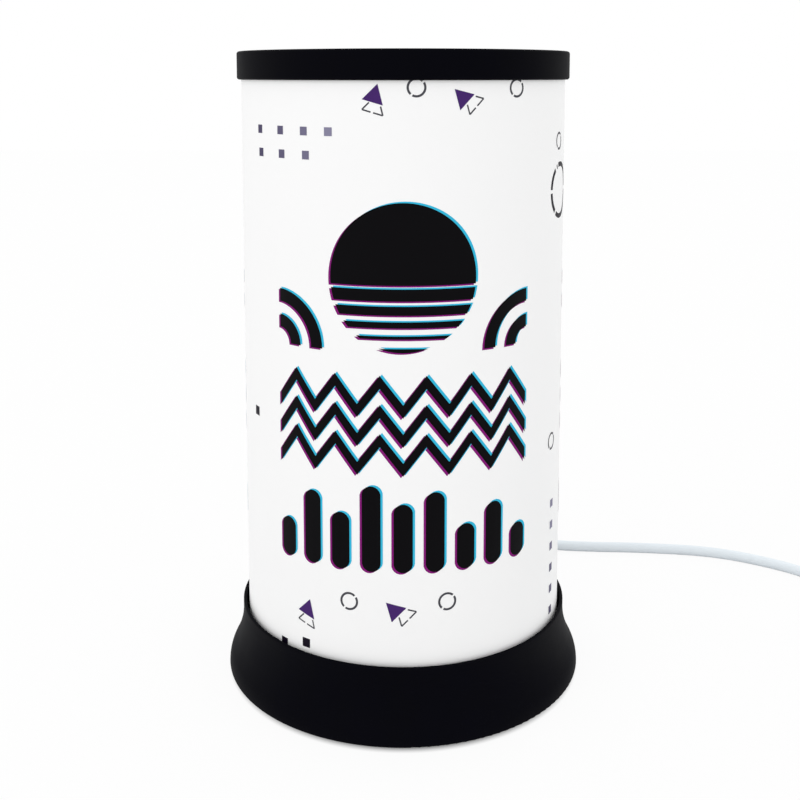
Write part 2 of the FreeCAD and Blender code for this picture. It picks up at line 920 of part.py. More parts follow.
def pivot_cup():
    """The brass cup in the hub that sits on the needle's point."""
    body = cylinder(cup_radius, cup_bottom, cup_top)
    return body.cut(Part.makeCone(cup_mouth_radius, 0.0, cup_depth, Vector(0, 0, cup_bottom)))


def hub_cap():
    """The domed button that closes the hub above the cup."""
    stem = cup_radius - running_slip
    sphere = (hub_cap_radius**2 + hub_cap_height**2) / (2 * hub_cap_height)
    half = math.asin(hub_cap_radius / sphere) / 2
    top = hub_top + hub_cap_height
    return turned(
        (0, cup_top),
        ((stem, cup_top),),
        ((stem, hub_top),),
        ((hub_cap_radius, hub_top),),
        ((sphere * math.sin(half), top - sphere * (1 - math.cos(half))), (0, top)),
    )


def fan_wheel():
    """The moulded fan wheel: hub, pitched blades and the band that the shade is fixed to."""
    share = math.pi / blade_count * blade_cover
    inner = hub_radius - blade_root
    outer = band_outer
    low = -blade_thickness / 2
    outline = [(inner, -1), (outer, -1), (outer, 1), (inner, 1)]
    blade = prism([Vector(x, side * x * share, low) for x, side in outline], Vector(0, 0, blade_thickness))
    blade.rotate(Vector(0, 0, 0), Vector(1, 0, 0), blade_pitch)
    blade.translate(Vector(0, 0, fan_centre))
    room = cylinder(band_inner + fan_band_wall / 2, ring_bottom, plate_bottom)
    bore = cylinder(cup_radius + running_slip, hub_bottom - 1, hub_top + 1)
    pilot_low = plate_bottom - ring_screw[3] - ring_screw[2] - boss_skin
    pilot = cylinder(ring_screw[2] + pilot_slip, pilot_low, plate_bottom + 1, ring_screw_circle)
    boss = cylinder(ring_screw_boss, pilot_low - boss_floor, plate_bottom, ring_screw_circle)
    parts = [one.common(room) for one in ring_of(blade, blade_count)]
    parts += ring_of(boss, ring_screw_count, ring_screw_angle)
    parts.append(cylinder(hub_radius, hub_bottom, hub_top))
    band = ring(band_inner, band_outer, ring_bottom, plate_bottom)
    wheel = band.multiFuse(parts)
    return wheel.cut(joined([bore, *ring_of(pilot, ring_screw_count, ring_screw_angle)]))


def top_ring():
    """The black ring that caps the shade: a skirt outside the film and a flat plate over the fan's band."""
    soft = top_ring_round
    corner = soft * (1 - math.sqrt(0.5))
    body = turned(
        (skirt_inner, ring_bottom),
        ((top_ring_radius - soft, ring_bottom),),
        ((top_ring_radius - corner, ring_bottom + corner), (top_ring_radius, ring_bottom + soft)),
        ((top_ring_radius, lamp_height - soft),),
        ((top_ring_radius - corner, lamp_height - corner), (top_ring_radius - soft, lamp_height)),
        ((flange_inner, lamp_height),),
        ((flange_inner, plate_bottom),),
        ((skirt_inner, plate_bottom),),
    )
    head_radius, head_height, shank_radius, _ = ring_screw
    head_low = lamp_height - head_height
    head_room = cylinder(head_radius + head_slip, head_low, lamp_height + 1, ring_screw_circle)
    shank_room = cylinder(shank_radius + head_slip, plate_bottom - 1, lamp_height + 1, ring_screw_circle)
    room = head_room.fuse(shank_room)
    return body.cut(joined(ring_of(room, ring_screw_count, ring_screw_angle)))


def ring_screws():
    """The screws that hold the top ring down on the fan wheel's bosses."""
    one = screw(ring_screw)
    one.rotate(Vector(0, 0, 0), Vector(1, 0, 0), 180)
    one = moved(one, ring_screw_circle, 0, lamp_height - ring_screw[1])
    return joined(ring_of(one, ring_screw_count, ring_screw_angle))


def arc_wall(inner, outer, bottom, top, width, angle):
    """Part of an upright tube, as wide as given along its arc, centred on an angle."""
    spread = math.degrees(width / outer)
    wall = ring(inner, outer, bottom, top)
    wedge = Part.makeCylinder(outer + 1, top - bottom, Vector(0, 0, bottom), Vector(0, 0, 1), spread)
    return wall.common(around(wedge, angle - spread / 2))


def shade_film():
    """The printed film, rolled into a tube whose edge laps over itself at the back."""
    tube = ring(film_inner, shade_radius, film_bottom, film_top)
    lap = arc_wall(shade_radius, lap_outer, film_bottom, film_top, lap_width, seam_angle)
    return tube.fuse(lap).removeSplitter()


def seam_strip():
    """The clear strip stuck inside the film along its lap."""
    low = film_bottom + lower_ring_height + seam_strip_clear
    high = ring_bottom - seam_strip_clear
    outer = film_inner - running_slip
    return arc_wall(outer - seam_strip_thickness, outer, low, high, seam_strip_width, seam_angle)


def lower_ring():
    """The hoop that keeps the film's lower edge round."""
    outer = film_inner - running_slip
    low = film_bottom - lower_ring_lip
    return turned(
        (outer - lower_ring_wall, low),
        ((shade_radius, low),),
        ((shade_radius, film_bottom),),
        ((outer, film_bottom),),
        ((outer, film_bottom + lower_ring_height),),
        ((outer - lower_ring_wall, film_bottom + lower_ring_height),),
    )


def strain_relief():
    """The flexible bush that the lead leaves the base through, grooved along its tail."""
    inner = exit_boss_inner()
    outer = exit_boss_outer()
    start = inner - relief_flange
    flange_end = outer + relief_flange
    profile = [
        (start, relief_flange_radius),
        (inner, relief_flange_radius),
        (inner, relief_neck_radius),
        (outer, relief_neck_radius),
        (outer, relief_flange_radius + relief_collar),
        (flange_end, relief_flange_radius + relief_collar),
    ]
    steps = 2 * relief_groove_count + 1
    for k in range(steps):
        groove = relief_groove * (k % 2)
        for end in (k, k + 1):
            share = end / steps
            radius = relief_tail_radius + (relief_tip_radius - relief_tail_radius) * share - groove
            profile.append((flange_end + relief_tail * share, radius))
    bore = cord_radius + running_slip
    corners = [(start, bore), *profile, (relief_tip(), bore)]
    points = [Vector(x, 0, r) for x, r in corners]
    bush = Part.Face(Part.makePolygon(points + points[:1])).revolve(Vector(0, 0, 0), Vector(1, 0, 0), 360)
    bush = bush if bush.Volume > 0 else bush.reversed()
    return to_exit(moved(bush, 0, 0, exit_height))


def cord_inner():
    """The lead from inside the base to the tip of its bush."""
    return to_exit(bar(cord_radius, (cord_end, 0, exit_height), (relief_tip(), 0, exit_height)))


def core(side, label):
    """One insulated core from the end of the lead's sheath, up the nipple, to its terminal."""
    spread = side * core_spacing / 2
    terminal = side * terminal_offset
    under_block = block_bottom - terminal_height
    low = cover_top + core_above_cover
    side_x, side_y = polar(spread, exit_angle + 90)
    end_x, end_y = polar(cord_end, exit_angle)
    near_x, near_y = polar(cord_end - core_fan, exit_angle)
    corners = [
        (end_x + side_x, end_y + side_y, exit_height),
        (near_x + side_x, near_y + side_y, low),
        (side_x, side_y, low),
        (side_x, side_y, nipple_top + 1),
        (0, terminal, under_block - core_turn),
        (0, terminal, under_block),
    ]
    return swept(rounded_path(corners, label), core_radius)


def cord_clamp():
    """The bar that grips the lead against the deck's saddle."""
    half = clamp_width / 2
    bar_plate = block(
        (clamp_circle - half, -clamp_half_length, clamp_top - clamp_thickness),
        (clamp_circle + half, clamp_half_length, clamp_top),
    )
    radius = clamp_screw[2] + head_slip
    low = clamp_top - clamp_thickness - 1
    offset = clamp_screw_offset
    holes = [cylinder(radius, low, clamp_top + 1, clamp_circle, y) for y in (-offset, offset)]
    return to_exit(bar_plate.cut(joined(holes)))


def clamp_screws():
    """The two screws through the clamp bar."""
    low = clamp_top - clamp_thickness
    screws = [moved(screw(clamp_screw), clamp_circle, side * clamp_screw_offset, low) for side in (-1, 1)]
    return to_exit(joined(screws))


def to_switch(shape):
    """A shape made along +X about the origin, laid where the switch lies, along -Y."""
    return moved(around(shape, -90), *switch_centre)


def switch_block(low, high, inset=0.0):
    """The switch case's rounded block between two heights, or its hollow when inset by the wall."""
    half_length = switch_length / 2 - inset
    half_width = switch_width / 2 - inset
    body = block((-half_length, -half_width, low), (half_length, half_width, high))
    upright = [e for e in body.Edges if abs(e.tangentAt(e.FirstParameter).z) > 0.9]
    return body.makeFillet(max(switch_corner - inset, switch_wall / 2), upright)


def switch_cord_holes():
    """The lead's two ways into the switch, as a cutter."""
    reach = switch_length / 2 + 1
    return bar(cord_radius + running_slip, (-reach, 0, switch_split), (reach, 0, switch_split))


def switch_screw_places():
    """Where the two case screws stand, in the switch's own frame."""
    x = switch_length / 2 - switch_screw_inset
    y = switch_width / 2 - switch_wall - switch_screw_wall
    return [(x, -y), (-x, y)]


def switch_base():
    """The lower half of the switch case, with posts for its screws and rests for the contacts."""
    body = switch_block(0, switch_split)
    foot = [e for e in body.Edges if e.BoundBox.ZMax < 1e-6]
    body = body.makeFillet(switch_edge / 2, foot)
    body = body.cut(joined([switch_block(switch_wall, switch_split + 1, switch_wall), switch_cord_holes()]))
    head_radius, head_height, shank_radius, _ = switch_screw
    head_top = switch_head_depth + head_height
    added = []
    cut = []
    for x, y in switch_screw_places():
        added.append(cylinder(head_radius + switch_post_wall, switch_head_depth, switch_split, x, y))
        cut.append(cylinder(head_radius + head_slip, -1, head_top, x, y))
        cut.append(cylinder(shank_radius + head_slip, -1, switch_split + 1, x, y))
    for x, length, top in contact_places():
        half = length / 2
        low = (x - half, -rest_half_width, switch_wall)
        added.append(block(low, (x + half, rest_half_width, top - metal_thickness)))
    return to_switch(body.multiFuse(added).cut(joined(cut)))


def switch_cover():
    """The upper half of the switch case, with the rocker's window and the lugs for its pin."""
    body = switch_block(switch_split, switch_height)
    rim = [e for e in body.Edges if e.BoundBox.ZMin > switch_height - 1e-6]
    body = body.makeFillet(switch_edge, rim)
    ceiling = switch_height - switch_wall
    across = rocker_width / 2 + rocker_side_slip
    along = rocker_length / 2 + window_slip
    window = block((-along, -across, switch_split), (along, across, switch_height + 1))
    hollow = switch_block(switch_split - 1, ceiling, switch_wall)
    body = body.cut(joined([hollow, switch_cord_holes(), window]))
    added = []
    reach = across + lug_thickness + 1
    pin_hole = rocker_pin_radius + running_slip / 2
    cut = [bar(pin_hole, (0, -reach, rocker_pin_height), (0, reach, rocker_pin_height))]
    half = lug_length / 2
    for side in (-1, 1):
        near, far = sorted((side * across, side * (across + lug_thickness)))
        added.append(block((-half, near, rocker_pin_height - lug_drop), (half, far, ceiling)))
    head_radius, head_height, shank_radius, length = switch_screw
    pilot_top = switch_head_depth + head_height + length + shank_radius
    for x, y in switch_screw_places():
        added.append(cylinder(head_radius, switch_split, ceiling, x, y))
        cut.append(cylinder(shank_radius + pilot_slip, switch_split - 1, pilot_top, x, y))
    return to_switch(body.multiFuse(added).cut(joined(cut)))


def rest_tilt(shape):
    """Tips a shape of the rocker to the end of its travel where the lamp is off."""
    copy = shape.copy()
    copy.rotate(Vector(0, 0, rocker_pin_height), Vector(0, 1, 0), -rocker_travel / 2)
    return copy


def switch_rocker():
    """The rocker button, dished on top and bored for its pin."""
    half = rocker_length / 2
    top = switch_height + rocker_crown
    foot = rocker_pin_height - rocker_depth
    knee = foot + rocker_chamfer
    waist = rocker_pin_height + rocker_chamfer
    right = [(half - rocker_chamfer, knee), (half, waist), (half, top)]
    left = [(-x, z) for x, z in reversed(right)]
    outline = [(rocker_foot, foot), *right, (0, top - rocker_dip), *left, (-rocker_foot, foot)]
    width = rocker_width
    body = prism([Vector(x, -width / 2, z) for x, z in outline], Vector(0, width, 0))
    bore_radius = rocker_pin_radius + running_slip
    bore = bar(bore_radius, (0, -width, rocker_pin_height), (0, width, rocker_pin_height))
    return to_switch(rest_tilt(body.cut(bore)))


def contact_bridge():
    """The moving contact under the rocker."""
    top = rocker_pin_height - rocker_depth
    x = bridge_length / 2
    y = bridge_width / 2
    return to_switch(rest_tilt(block((-x, -y, top - bridge_thickness), (x, y, top))))


def rocker_pin():
    """The pin that the rocker turns on."""
    reach = rocker_width / 2 + rocker_side_slip + lug_thickness
    return to_switch(bar(rocker_pin_radius, (0, -reach, rocker_pin_height), (0, reach, rocker_pin_height)))


def under_bridge(reach):
    """The height just under the tipped bridge, as far out along the switch as given."""
    tilt = math.radians(rocker_travel / 2)
    return rocker_pin_height - bridge_depth * math.cos(tilt) - reach * math.sin(tilt) - switch_contact_gap


def contact_places():
    """Place along the switch, length and top of the two fixed contacts: the middle one, which the bridge
    always rocks on, and the end one, which it meets when the lamp is on."""
    tilt = math.radians(rocker_travel / 2)
    middle_reach = middle_contact_length / 2 + bridge_depth * math.sin(tilt)
    return [
        (0.0, middle_contact_length, under_bridge(middle_reach)),
        (end_contact_offset, contact_length, under_bridge(bridge_length / 2)),
    ]


def switch_contacts():
    """The two fixed contacts on their rests."""
    y = bridge_width / 2
    strips = [block((x - length / 2, -y, top - metal_thickness), (x + length / 2, y, top))
              for x, length, top in contact_places()]
    return to_switch(joined(strips))


def switch_screws():
    """The two screws that close the switch case from below."""
    height = switch_head_depth + switch_screw[1]
    return to_switch(joined([moved(screw(switch_screw), x, y, height) for x, y in switch_screw_places()]))


def switch_gate(side):
    """Where the lead meets the switch: side 1 towards the lamp, side -1 towards the plug."""
    x, y = switch_centre
    return x, y + side * switch_length / 2, switch_split


def inside_switch(side):
    """The point inside the switch where the lead's sheath ends."""
    x, y, z = switch_gate(side)
    return x, y - side * cord_in_switch, z


def straight(start, end):
    """A straight edge between two points."""
    return Part.LineSegment(Vector(*start), Vector(*end)).toShape()


def cord_to_switch():
    """The lead from its bush, along the table past the right of the lamp, into the switch."""
    start = (*polar(relief_tip(), exit_angle), exit_height)
    edges = rounded_path([start, *route_to_switch, switch_gate(1)], "lead to switch")
    return swept([*edges, straight(switch_gate(1), inside_switch(1))], cord_radius)


def half_turn(x, radius, way, low, high):
    """Half a turn of the coil from a place on its left or right. The way is 1 to the right and -1 back. It
    climbs by leaning the half circle."""
    y = coil_centre[1]
    rise = high - low
    end = Vector(x + 2 * radius * way, y, high)
    pole = Vector(x + radius * way, y - way * math.sqrt(radius**2 + rise**2 / 4), low + rise / 2)
    return Part.Arc(Vector(x, y, low), pole, end).toShape()


def coil_edges():
    """The coil's middle line: round and in along the table, up a layer, and round and out on top."""
    step = coil_pitch / 2
    x, y = coil_entry
    radii = [coil_outer_radius - step * k for k in range(coil_half_turns)]
    turns = [(radius, coil_low, coil_low) for radius in radii]
    turns.append((coil_inner_radius - step, coil_low, coil_high))
    turns += [(radius, coil_high, coil_high) for radius in reversed(radii)]
    edges = [straight((x, y + cord_diameter, coil_low), (x, y, coil_low))]
    for k, (radius, low, high) in enumerate(turns):
        way = 1 if k % 2 == 0 else -1
        edges.append(half_turn(x, radius, way, low, high))
        x += 2 * radius * way
    edges.append(straight((x, y, coil_high), (x, y + cord_diameter, coil_high)))
    return edges


def least_gap(edges, apart, samples=24):
    """The least distance between two points of a path that lie further apart than given along it."""
    points = []
    for edge in edges:
        first, last = edge.ParameterRange
        points += [edge.valueAt(first + (last - first) * k / samples) for k in range(samples)]
    along = [0.0]
    for a, b in zip(points, points[1:]):
        along.append(along[-1] + a.distanceToPoint(b))
    pairs = ((i, j) for i in range(len(points)) for j in range(i + 1, len(points)))
    return min(points[i].distanceToPoint(points[j]) for i, j in pairs if along[j] - along[i] > apart)


def cord_coil():
    """The spare lead, wound in two layers."""
    edges = coil_edges()
    print("coil's least gap to itself", round(least_gap(edges, 3 * cord_diameter) - cord_diameter, 2))
    return swept(edges, cord_radius)


def coil_ends():
    """Where the lead comes into the coil, and where it leaves it."""
    edges = coil_edges()
    return tuple(edges[0].valueAt(edges[0].FirstParameter)), tuple(edges[-1].valueAt(edges[-1].LastParameter))


def cord_to_coil():
    """The lead from the switch to the coil."""
    first = straight(inside_switch(-1), switch_gate(-1))
    edges = rounded_path([switch_gate(-1), *route_to_coil, coil_ends()[0]], "lead to coil")
    return swept([first, *edges], cord_radius)


def plug_gate():
    """The tip of the plug's sleeve, where the lead ends."""
    x, y = plug_place
    return x, y - plug_sleeve_length, plug_axis


def cord_to_plug():
    """The lead from the coil to the plug."""
    return swept(rounded_path([coil_ends()[1], *route_to_plug, plug_gate()], "lead to plug"), cord_radius)


def coil_tie():
    """The strap round all the coil's strands, where the climb between the layers lies innermost."""
    x, y = coil_centre
    around_cord = cord_radius + tie_slip
    climb_radius = coil_inner_radius - coil_pitch / 2
    near = y - climb_radius + around_cord
    far = y - coil_outer_radius - around_cord
    top = coil_high + around_cord
    half = tie_width / 2
    thick = tie_thickness
    wrap = block((x - half, far - thick, 0.0), (x + half, near + thick, top + thick))
    hollow = block((x - half - 1, far, thick), (x + half + 1, near, top))
    wrap = wrap.makeFillet(tie_corner + thick, edges_along_x(wrap))
    return wrap.cut(hollow.makeFillet(tie_corner, edges_along_x(hollow)))


def edges_along_x(body):
    """The edges of a box that run along X."""
    return [e for e in body.Edges if abs(e.tangentAt(e.FirstParameter).x) > 0.9]


def to_plug(shape):
    """A shape made along +X from the origin, laid where the plug lies, along +Y."""
    return moved(around(shape, 90), *plug_place)


def plug_bar(radius, start, end, side):
    """A round bar along one of the plug's pins."""
    y = side * pin_spacing / 2
    return bar(radius, (start, y, plug_axis), (end, y, plug_axis))


def plug_sleeve():
    """The plug's tapered bend sleeve, grooved round."""
    length = plug_sleeve_length
    taper = plug_sleeve_radius - plug_sleeve_tip
    tip = Vector(-length, 0, plug_axis)
    body = Part.makeCone(plug_sleeve_tip, plug_sleeve_radius, length, tip, Vector(1, 0, 0))
    for k in range(plug_groove_count):
        start = plug_groove_first + plug_groove_step * k
        end = start + plug_groove_width
        floor = plug_sleeve_tip + taper * start / length - relief_groove / 2
        low = (start - length, 0, plug_axis)
        high = (end - length, 0, plug_axis)
        body = body.cut(bar(2 * plug_sleeve_radius, low, high).cut(bar(floor, low, high)))
    return body


def plug_body():
    """The moulded two-pin plug with its bend sleeve."""
    wide = plug_width / 2
    tail = plug_tail_width / 2
    shoulder = plug_length - plug_shoulder
    side = [(0, tail), (shoulder, wide), (plug_length, wide)]
    outline = [(x, -y) for x, y in side] + list(reversed(side))
    body = prism([Vector(x, y, 0) for x, y in outline], Vector(0, 0, plug_thickness))
    body = body.makeFillet(plug_round, body.Edges)
    seat = pin_radius - pin_neck + running_slip / 2
    seats = [plug_bar(seat, plug_length - pin_seat, plug_length + 1, side) for side in (-1, 1)]
    return to_plug(body.fuse(plug_sleeve()).cut(joined(seats)))


def plug_pins():
    """The plug's two brass pins, with a thinner shank in the plug and under their insulation."""
    tip = plug_length + pin_length
    insulated = plug_length + pin_insulation
    pins = []
    for side in (-1, 1):
        shank = plug_bar(pin_radius - pin_neck, plug_length - pin_seat, insulated, side)
        end = plug_bar(pin_radius, insulated, tip - pin_nose, side)
        start = Vector(tip - pin_nose, side * pin_spacing / 2, plug_axis)
        nose = Part.makeCone(pin_radius, pin_radius - pin_nose_bevel, pin_nose, start, Vector(1, 0, 0))
        pins.append(shank.multiFuse([end, nose]))
    return to_plug(joined(pins))


def pin_sleeves():
    """The insulating sleeves on the roots of the pins."""
    start = plug_length
    end = plug_length + pin_insulation
    inner = pin_radius - pin_neck
    outer = pin_radius - pin_sleeve_inset
    return to_plug(joined([plug_bar(outer, start, end, side).cut(plug_bar(inner, start, end, side))
                           for side in (-1, 1)]))


def lamp():
    """Every piece of the lamp by name."""
    pieces = {
        "base_shell": base_shell(),
        "bottom_cover": bottom_cover(),
        "cover_screws": cover_screws(),
        "fixing_nipple": fixing_nipple(),
        "nipple_nut": nipple_nut(),
        "nipple_washer": nipple_washer(),
        "lampholder_lower": lampholder_lower(),
        "lampholder_upper": lampholder_upper(),
        "contact_block": contact_block(),
        "terminals": terminals(),
        "terminal_screws": terminal_screws(),
        "contact_rivets": contact_rivets(),
        "screw_shell": screw_shell(),
        "centre_contact": centre_contact(),
        "bulb_contact": bulb_contact(),
        "bulb_insulator": bulb_insulator(),
        "bulb_cap": bulb_cap(),
        "bulb_glass": bulb_glass(),
        "bulb_stem": bulb_stem(),
        "bulb_filament": bulb_filament(),
        "pivot_frame": pivot_frame(),
        "needle_collar": needle_collar(),
        "collar_screw": collar_screw(),
        "pivot_needle": pivot_needle(),
        "pivot_cup": pivot_cup(),
        "hub_cap": hub_cap(),
        "fan_wheel": fan_wheel(),
        "top_ring": top_ring(),
        "ring_screws": ring_screws(),
        "shade_film": shade_film(),
        "seam_strip": seam_strip(),
        "lower_ring": lower_ring(),
        "strain_relief": strain_relief(),
        "cord_inner": cord_inner(),
        "core_live": core(1, "live core"),
        "core_neutral": core(-1, "neutral core"),
        "cord_clamp": cord_clamp(),
        "clamp_screws": clamp_screws(),
        "cord_to_switch": cord_to_switch(),
        "cord_to_coil": cord_to_coil(),
        "cord_coil": cord_coil(),
        "cord_to_plug": cord_to_plug(),
        "coil_tie": coil_tie(),
        "switch_base": switch_base(),
        "switch_cover": switch_cover(),
        "switch_rocker": switch_rocker(),
        "contact_bridge": contact_bridge(),
        "rocker_pin": rocker_pin(),
        "switch_contacts": switch_contacts(),
        "switch_screws": switch_screws(),
        "plug_body": plug_body(),
        "plug_pins": plug_pins(),
        "pin_sleeves": pin_sleeves(),
    }
    for number, foot in enumerate(feet(), 1):
        pieces[f"foot_{number}"] = foot
    return pieces


def main():
    """Checks each piece and writes it to its own file."""
    os.makedirs("parts", exist_ok=True)
    for name, shape in lamp().items():
        for solid in shape.Solids:
            if not solid.isValid() or solid.Volume <= 0:
                print("fault in", name, solid.isValid(), solid.Volume)
        shape.exportStep(f"parts/{name}.step")
        print(name, len(shape.Solids), "solids", round(shape.Volume, 1), "mm3")


if __name__ == "__main__":
    main()
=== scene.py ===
"""The finished look of a rotating motion lamp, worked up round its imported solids.

The lamp stands on the floor at z = 0, with its axis on Z and its front towards -Y. Sizes are in metres and
angles in degrees. Only the print on the shade is drawn in millimetres, on a flat sheet that is then wrapped.
"""

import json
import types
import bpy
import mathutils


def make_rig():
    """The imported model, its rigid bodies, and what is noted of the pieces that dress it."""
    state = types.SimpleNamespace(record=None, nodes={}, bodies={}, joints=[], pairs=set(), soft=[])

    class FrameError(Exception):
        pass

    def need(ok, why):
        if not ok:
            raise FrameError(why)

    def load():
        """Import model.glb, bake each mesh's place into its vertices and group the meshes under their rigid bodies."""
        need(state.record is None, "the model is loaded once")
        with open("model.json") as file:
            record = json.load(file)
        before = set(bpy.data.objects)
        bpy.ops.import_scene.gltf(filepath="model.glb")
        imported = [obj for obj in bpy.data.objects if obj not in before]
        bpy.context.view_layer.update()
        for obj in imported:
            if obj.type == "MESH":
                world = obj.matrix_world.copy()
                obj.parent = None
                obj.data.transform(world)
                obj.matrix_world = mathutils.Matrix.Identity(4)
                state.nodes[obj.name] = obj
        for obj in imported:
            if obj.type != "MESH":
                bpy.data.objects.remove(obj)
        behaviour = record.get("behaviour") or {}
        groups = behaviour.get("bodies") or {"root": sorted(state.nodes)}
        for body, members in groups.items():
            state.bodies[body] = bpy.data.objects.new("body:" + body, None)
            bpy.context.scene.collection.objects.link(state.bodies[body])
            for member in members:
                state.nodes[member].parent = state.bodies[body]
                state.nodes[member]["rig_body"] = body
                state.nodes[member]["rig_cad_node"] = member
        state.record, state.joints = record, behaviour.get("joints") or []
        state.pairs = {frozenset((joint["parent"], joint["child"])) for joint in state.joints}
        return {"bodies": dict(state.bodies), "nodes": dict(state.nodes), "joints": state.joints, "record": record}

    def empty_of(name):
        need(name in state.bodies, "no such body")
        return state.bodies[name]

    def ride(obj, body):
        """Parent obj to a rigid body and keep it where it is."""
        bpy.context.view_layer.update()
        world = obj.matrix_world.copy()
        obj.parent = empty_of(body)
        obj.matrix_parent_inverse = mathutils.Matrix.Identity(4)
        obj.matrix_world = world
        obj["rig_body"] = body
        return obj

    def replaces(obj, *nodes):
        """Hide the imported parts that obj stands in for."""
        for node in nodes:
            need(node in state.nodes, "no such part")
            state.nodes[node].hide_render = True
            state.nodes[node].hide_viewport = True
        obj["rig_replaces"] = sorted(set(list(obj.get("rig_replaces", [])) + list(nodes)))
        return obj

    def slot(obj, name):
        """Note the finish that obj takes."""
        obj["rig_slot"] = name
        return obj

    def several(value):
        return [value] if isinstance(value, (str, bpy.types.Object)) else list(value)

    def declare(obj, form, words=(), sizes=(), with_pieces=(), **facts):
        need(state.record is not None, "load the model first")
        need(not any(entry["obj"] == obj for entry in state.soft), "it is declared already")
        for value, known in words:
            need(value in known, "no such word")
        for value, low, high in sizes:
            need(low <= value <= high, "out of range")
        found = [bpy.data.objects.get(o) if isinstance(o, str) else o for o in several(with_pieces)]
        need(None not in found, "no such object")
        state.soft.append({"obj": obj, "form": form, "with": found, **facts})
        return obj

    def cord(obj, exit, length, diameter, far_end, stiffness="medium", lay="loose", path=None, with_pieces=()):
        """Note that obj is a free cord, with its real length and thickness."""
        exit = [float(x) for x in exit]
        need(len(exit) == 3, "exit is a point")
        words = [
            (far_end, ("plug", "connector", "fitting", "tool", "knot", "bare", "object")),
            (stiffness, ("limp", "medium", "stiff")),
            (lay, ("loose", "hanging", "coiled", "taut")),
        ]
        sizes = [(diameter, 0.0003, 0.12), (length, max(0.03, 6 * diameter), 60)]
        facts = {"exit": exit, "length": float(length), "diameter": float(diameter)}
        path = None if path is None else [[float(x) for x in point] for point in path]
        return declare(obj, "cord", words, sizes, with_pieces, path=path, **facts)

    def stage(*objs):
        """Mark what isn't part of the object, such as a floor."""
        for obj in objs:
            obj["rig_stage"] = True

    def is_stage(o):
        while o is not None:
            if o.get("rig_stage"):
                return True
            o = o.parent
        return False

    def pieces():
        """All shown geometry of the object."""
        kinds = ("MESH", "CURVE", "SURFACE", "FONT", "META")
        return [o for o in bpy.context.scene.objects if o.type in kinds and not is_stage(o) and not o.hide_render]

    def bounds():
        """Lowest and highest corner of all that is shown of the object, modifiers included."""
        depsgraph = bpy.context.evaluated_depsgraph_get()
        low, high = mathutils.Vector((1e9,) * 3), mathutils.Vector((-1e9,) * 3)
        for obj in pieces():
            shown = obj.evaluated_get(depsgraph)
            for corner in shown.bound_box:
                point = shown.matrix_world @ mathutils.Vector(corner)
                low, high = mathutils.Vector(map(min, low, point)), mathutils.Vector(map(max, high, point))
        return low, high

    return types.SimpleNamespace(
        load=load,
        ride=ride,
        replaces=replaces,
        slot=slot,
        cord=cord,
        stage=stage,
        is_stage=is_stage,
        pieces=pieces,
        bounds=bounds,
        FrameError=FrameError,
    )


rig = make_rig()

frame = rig.load()
cad_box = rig.bounds()

import json
import logging
import math
from collections.abc import Iterable, Mapping, Sequence
from dataclasses import dataclass, field
from enum import Enum
from typing import Any, ClassVar

import bmesh
import bpy
from mathutils import Matrix, Vector

log = logging.getLogger("motion_lamp")

Colour = tuple[float, float, float]
Point = tuple[float, float, float]

WHITE: Colour = (1.0, 1.0, 1.0)
SHARP_EDGE = 35.0


def screen(red: int, green: int, blue: int) -> Colour:
    """Turns a colour as a screen shows it into the linear values that shaders take.

    Args:
        red: The red channel, from 0 to 255.
        green: The green channel, from 0 to 255.
        blue: The blue channel, from 0 to 255.

    Returns:
        The same colour as linear red, green and blue.
    """
    shares = (channel / 255 for channel in (red, green, blue))
    return tuple(s / 12.92 if s <= 0.04045 else ((s + 0.055) / 1.055) ** 2.4 for s in shares)


class Value:
    """A node's output that takes part in Python arithmetic. Each operation adds its Math node."""

    def __init__(self, shader: "Shader", socket: bpy.types.NodeSocket) -> None:
        """Keeps the socket and the shader that it belongs to."""
        self.shader = shader
        self.socket = socket

    def combined(self, operation: str, first: Any, second: Any) -> "Value":
        """Adds a Math node.

        Args:
            operation: The Math node's operation.
            first: The first operand, a value or a number.
            second: The second operand, a value or a number.

        Returns:
            The node's result.
        """
        return self.shader.node("ShaderNodeMath", {"operation": operation}, {0: first, 1: second})

    def __add__(self, other: Any) -> "Value":
        """The sum."""
        return self.combined("ADD", self, other)

    def __radd__(self, other: Any) -> "Value":
        """The sum, with the number first."""
        return self.combined("ADD", other, self)

    def __sub__(self, other: Any) -> "Value":
        """The difference."""
        return self.combined("SUBTRACT", self, other)

    def __rsub__(self, other: Any) -> "Value":
        """The difference, with the number first."""
        return self.combined("SUBTRACT", other, self)

    def __mul__(self, other: Any) -> "Value":
        """The product."""
        return self.combined("MULTIPLY", self, other)

    def __rmul__(self, other: Any) -> "Value":
        """The product, with the number first."""
        return self.combined("MULTIPLY", other, self)

    def at_most(self, other: Any) -> "Value":
        """The lesser of this and another value or number."""
        return self.combined("MINIMUM", self, other)


